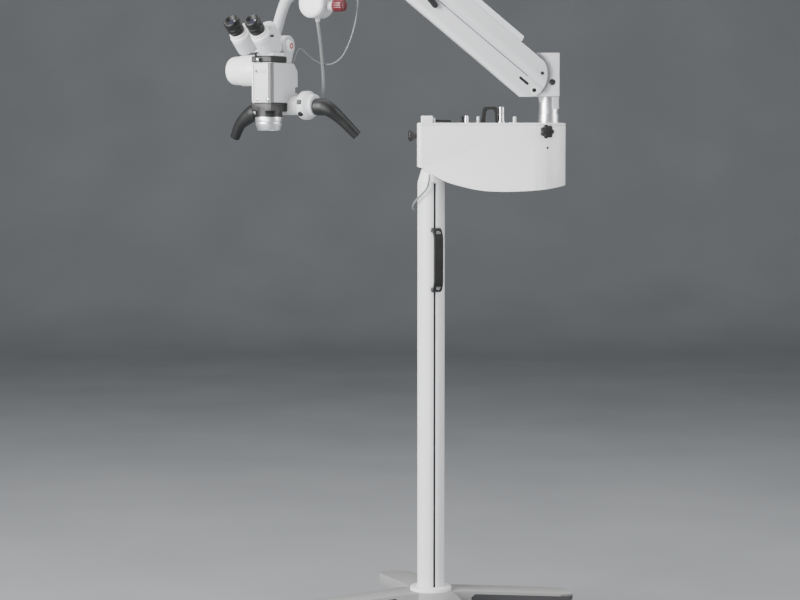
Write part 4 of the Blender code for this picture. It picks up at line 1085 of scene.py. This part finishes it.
def build_handles():
    length = (BAR_RIGHT.translation - BAR_LEFT.translation).length / MM
    bar = [(0, -GAP), (BAR_RADIUS - 1, -GAP), (BAR_RADIUS, -1 - GAP), (BAR_RADIUS, 1 + GAP - length),
        (BAR_RADIUS - 1, GAP - length), (0, GAP - length)]
    lathe("handle_crossbar_fine", bar, z_to_x(BAR_RIGHT), WHITE, "microscope", steps=96)
    right = [(48, 0, -4), (66, 0, -5), (84, 5, -13), (106, 24, -37), (135, 51, -77)]
    left = [(48, 0, -17), (60, 0, -18.5), (82, 2, -31), (106, 6, -49), (129, 16, -80)]
    for side, name, base, bends in ((1, "right", BAR_RIGHT, right), (-1, "left", BAR_LEFT, left)):
        body = "handle_" + name
        turn = turned_by(base, y=90 * side)
        collar = [(0, 44), (25.6, 44), (27, 43), (28, 40), (28.4, 34), (28.9, 33), (35.6, 25.4),
            (36.5, 23.4), (36.5, 9), (35.8, 7.2), (31, 0.8), (29.6, 0), (0, 0)]
        ring = lathe(f"handle_collar_{name}_fine", collar, turn, GREY, body, steps=112)
        points = smooth_route([(side * u, back, height) for u, back, height in bends], 12)
        radii = between([22, 21.5, 18.5, 14.5, 12.5], 12)
        grip = tube(f"grip_{name}_fine", points, radii, base, SATIN, body, sides=64)
        soften(grip, 3.4, 5, 50)
        throat = [(0, 44.1), (20.4, 44.1), (20.8, 44.6), (20.8, 48.6), (20.4, 49), (0, 49)]
        sink = turned_by(base, y=90 * side, at=(0, 0, bends[0][2]))
        lathe(f"grip_ferrule_{name}", throat, sink, SATIN, body, steps=96)
        if side > 0:
            bake_buttons(ring)


def bake_buttons(ring):
    """A square and a round push button, each in its own pocket of the collar."""
    pockets = []
    for name, angle, sides, turn, radius in (("upper", 12, 4, 45, 8), ("lower", -37, 64, 0, 6.5)):
        place = turned_by(turned_by(BAR_RIGHT, x=90 - angle, at=(16, 0, 0)), z=turn)
        pockets.append(helper(name + "_button_pocket", rod_mesh(radius + 0.6, 32, 60, sides), place))
        button = bpy.data.objects.new(name + "_button_fine", rod_mesh(radius, 34.6, 40, sides))
        settle(button, place, SATIN, "button_" + name)
        button.data.shade_smooth()
        soften(button, 1.2, 4, 40)
    bake(shaped(ring, 0, 0, cuts=pockets))


# ------------------------------------------------------------------ binocular tube
def build_binocular():
    """Own Z of the eyes' frame points up along the eyepieces, and own Y to the back and up."""
    to_hinge = HINGE.inverted() @ EYES
    along = to_hinge.col[2].yz
    across = to_hinge.col[1].yz
    centre = to_hinge.translation.yz / MM
    back = centre - 49 * along
    low = back - 11 * across
    high = back + 50 * across
    outline = [tuple(low), tuple(high)] + arc((0, 0), 15, 50, -100, 40)
    plate("binocular_body_fine", outline, 62, side_on(HINGE), GREY, "binocular", edge=3.4, segments=5)
    for side, name in ((1, "right"), (-1, "left")):
        prism = "prism_" + name
        slide = turned_by(EYES, at=(side * EYE_HALF, 0, 0))
        form = arc((0, 0), 25, 180, 360, 48) + arc((0, 28), 25, 0, 180, 48)
        plate(f"prism_housing_{name}_fine", form, 44, turned_by(slide, at=(0, 0, -26)), GREY, prism,
            edge=3.2, segments=5)
        seat = [(18.4, -3.7), (24, -3.7), (24.6, -3), (24.6, 1.6), (24, 2.4), (22.4, 3.4), (22, 4.4),
            (22, 11), (21.2, 12), (18.4, 12)]
        lathe("eyepiece_seat_" + name, seat, slide, WHITE, prism, ring=True, steps=96)
        barrel = [(0, 43.4), (9, 44.2), (12.4, 46.2), (14.6, 50.4), (16.4, 52), (18.4, 52.2), (20.2, 51),
            (21, 48.6), (21.2, 44), (21, 39), (20.4, 36), (19.4, 34.4), (19.4, 32), (20.2, 31.2),
            (20.4, 30), (20.4, 24), (20.1, 23), (19.5, 22.4), (19.5, 21), (20, 20.4), (20, 18.4),
            (19, 17.4), (18, 17), (18, 12.3), (0, 12.3)]
        lathe(f"eyepiece_{name}_fine", barrel, slide, SATIN, "eye_" + name, steps=160)
        lens = [(0, 46), (5, 45.6), (9.2, 44.8), (9.2, 44.2), (0, 43.8)]
        lathe(f"eye_lens_{name}", lens, turned_by(slide, at=(0, 0, 0.4)), GLASS, "eye_" + name)
        stud = [(0, 8), (2.6, 8), (3.4, 7), (3.4, 2), (2.4, 1), (2.4, -1), (0, -1)]
        lever_at = turned_by(slide, y=90 * side, at=(25 * side, 4, -10))
        lathe("pupil_lever_" + name, stud, lever_at, SATIN, prism, steps=32)


# ------------------------------------------------------------------ free cables
LIGHT_GUIDE_ROUTE = [(-290, 0, 1547), (-289, 0, 1530), (-286, 1, 1508), (-282, 3, 1469), (-279, 6, 1431),
    (-276.5, 10, 1392), (-277, 18, 1366), (-282, 28, 1342), (-294, 42, 1322), (-312, 52, 1313),
    (-330, 54, 1319), (-342, 48, 1334), (-350, 36, 1348), (-357, 23.5, 1352)]
SIGNAL_ROUTE = [(-259.5, -1, 1612.5), (-252, -5, 1621), (-240, -9, 1630), (-222, -12, 1635),
    (-205, -12, 1628), (-193, -11, 1613), (-188, -9, 1592), (-189, -7, 1570), (-195, -4, 1533),
    (-208, 0, 1490), (-226, 4, 1454), (-245, 8, 1437), (-264, 11, 1431), (-282, 13, 1434),
    (-300, 14, 1443.5), (-319, 14, 1458), (-332, 13, 1470), (-340, 10, 1470), (-346, 5, 1458),
    (-351, 1, 1445), (-354, -1, 1434.5)]
LAMP_LEAD_ROUTE = [(-5, -44, 1150), (-6, -45, 1135), (-12, -45, 1115), (-26, -39, 1098), (-39, -24, 1084),
    (-46, -4, 1072), (-46, 18, 1062), (-37, 38, 1056), (-22, 50, 1054), (-7, 50, 1055), (0, 41, 1056),
    (0.5, 35.6, 1056)]


def build_cord(name, route, radius):
    """A cable along a smooth curve through its route, with its placement baked into its mesh."""
    points = smooth_route(route, 8)
    cable = tube(name + "_fine", points, [radius] * len(points), COLUMN, CORD, None, sides=20)
    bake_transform(cable)


def build_cords():
    build_cord("light_guide", LIGHT_GUIDE_ROUTE, 4.5)
    build_cord("signal_cable", SIGNAL_ROUTE, 2)
    build_cord("lamp_lead", LAMP_LEAD_ROUTE, 2.5)


# ------------------------------------------------------------------ build, in the record's order
build_cords()
build_base()
build_casters()
build_column()
build_column_handle()
build_housing()
build_lid_parts()
build_knobs()
build_spindle()
build_arm()
build_knuckle()
build_head()
build_pendulum()
build_optics()
build_focus()
build_handles()
build_binocular()
for node, look in (("carrier_frame", GREY), ("power_supply", ALLOY), ("lamp_module", ALLOY)):
    thing = frame["nodes"][node]
    thing.data.materials.clear()
    thing.data.materials.append(look)
for thing in helpers:
    bpy.data.objects.remove(thing, do_unlink=True)


# ------------------------------------------------------------------ floor and light
STAGE_HALF = 10.0                       # metres
STAGE_BEND = 2.5
WALL_TOP = 8.0


def build_stage():
    """A floor that bends up into a wall far behind."""
    mesh = bpy.data.meshes.new("floor")
    shape = bmesh.new()
    start = STAGE_HALF - STAGE_BEND
    turns = [math.radians(6 * i) for i in range(1, 16)]
    profile = [(-STAGE_HALF, 0.0), (start, 0.0)]
    profile += [(start + STAGE_BEND * math.sin(a), STAGE_BEND * (1 - math.cos(a))) for a in turns]
    profile += [(STAGE_HALF, WALL_TOP)]
    rows = [[shape.verts.new((x, y, z - 0.0005)) for y, z in profile] for x in (-STAGE_HALF, STAGE_HALF)]
    for index in range(len(profile) - 1):
        shape.faces.new((rows[0][index], rows[1][index], rows[1][index + 1], rows[0][index + 1]))
    shape.to_mesh(mesh)
    shape.free()
    mesh.shade_smooth()
    floor = bpy.data.objects.new("floor", mesh)
    bpy.context.scene.collection.objects.link(floor)
    made, nodes, links, shader = new_material("studio_floor")
    drift = ramp(nodes, links, noise(nodes, links, 1.5, 3), (0.24, 0.25, 0.26), (0.27, 0.28, 0.29))
    links.new(drift, shader.inputs["Base Color"])
    shader.inputs["Roughness"].default_value = 0.85
    mesh.materials.append(made)


def build_light(name, at, aim, size, power):
    data = bpy.data.lights.new(name, "AREA")
    data.shape = "RECTANGLE"
    data.size = size[0]
    data.size_y = size[1]
    data.energy = power
    lamp = bpy.data.objects.new(name, data)
    bpy.context.scene.collection.objects.link(lamp)
    lamp.location = at
    lamp.visible_camera = False
    lamp.rotation_euler = (Vector(aim) - Vector(at)).to_track_quat("-Z", "Y").to_euler()


def build_world():
    world = bpy.data.worlds.new("studio")
    bpy.context.scene.world = world
    world.use_nodes = True
    backdrop = world.node_tree.nodes["Background"]
    backdrop.inputs["Color"].default_value = (0.93, 0.95, 1.0, 1)
    backdrop.inputs["Strength"].default_value = 0.3


build_stage()
build_world()
build_light("key_left", (-3.6, -2.6, 2.4), (0.0, 0.0, 1.3), (2.6, 3.2), 520)
build_light("fill_right", (3.6, -0.8, 2.0), (0.1, 0.0, 1.2), (2.2, 3.2), 120)
build_light("top", (0.0, 0.6, 4.0), (0.0, 0.0, 1.2), (2.8, 2.2), 80)
build_light("front_low", (-1.6, -3.6, 0.35), (0.1, 0.0, 1.5), (1.4, 0.6), 60)
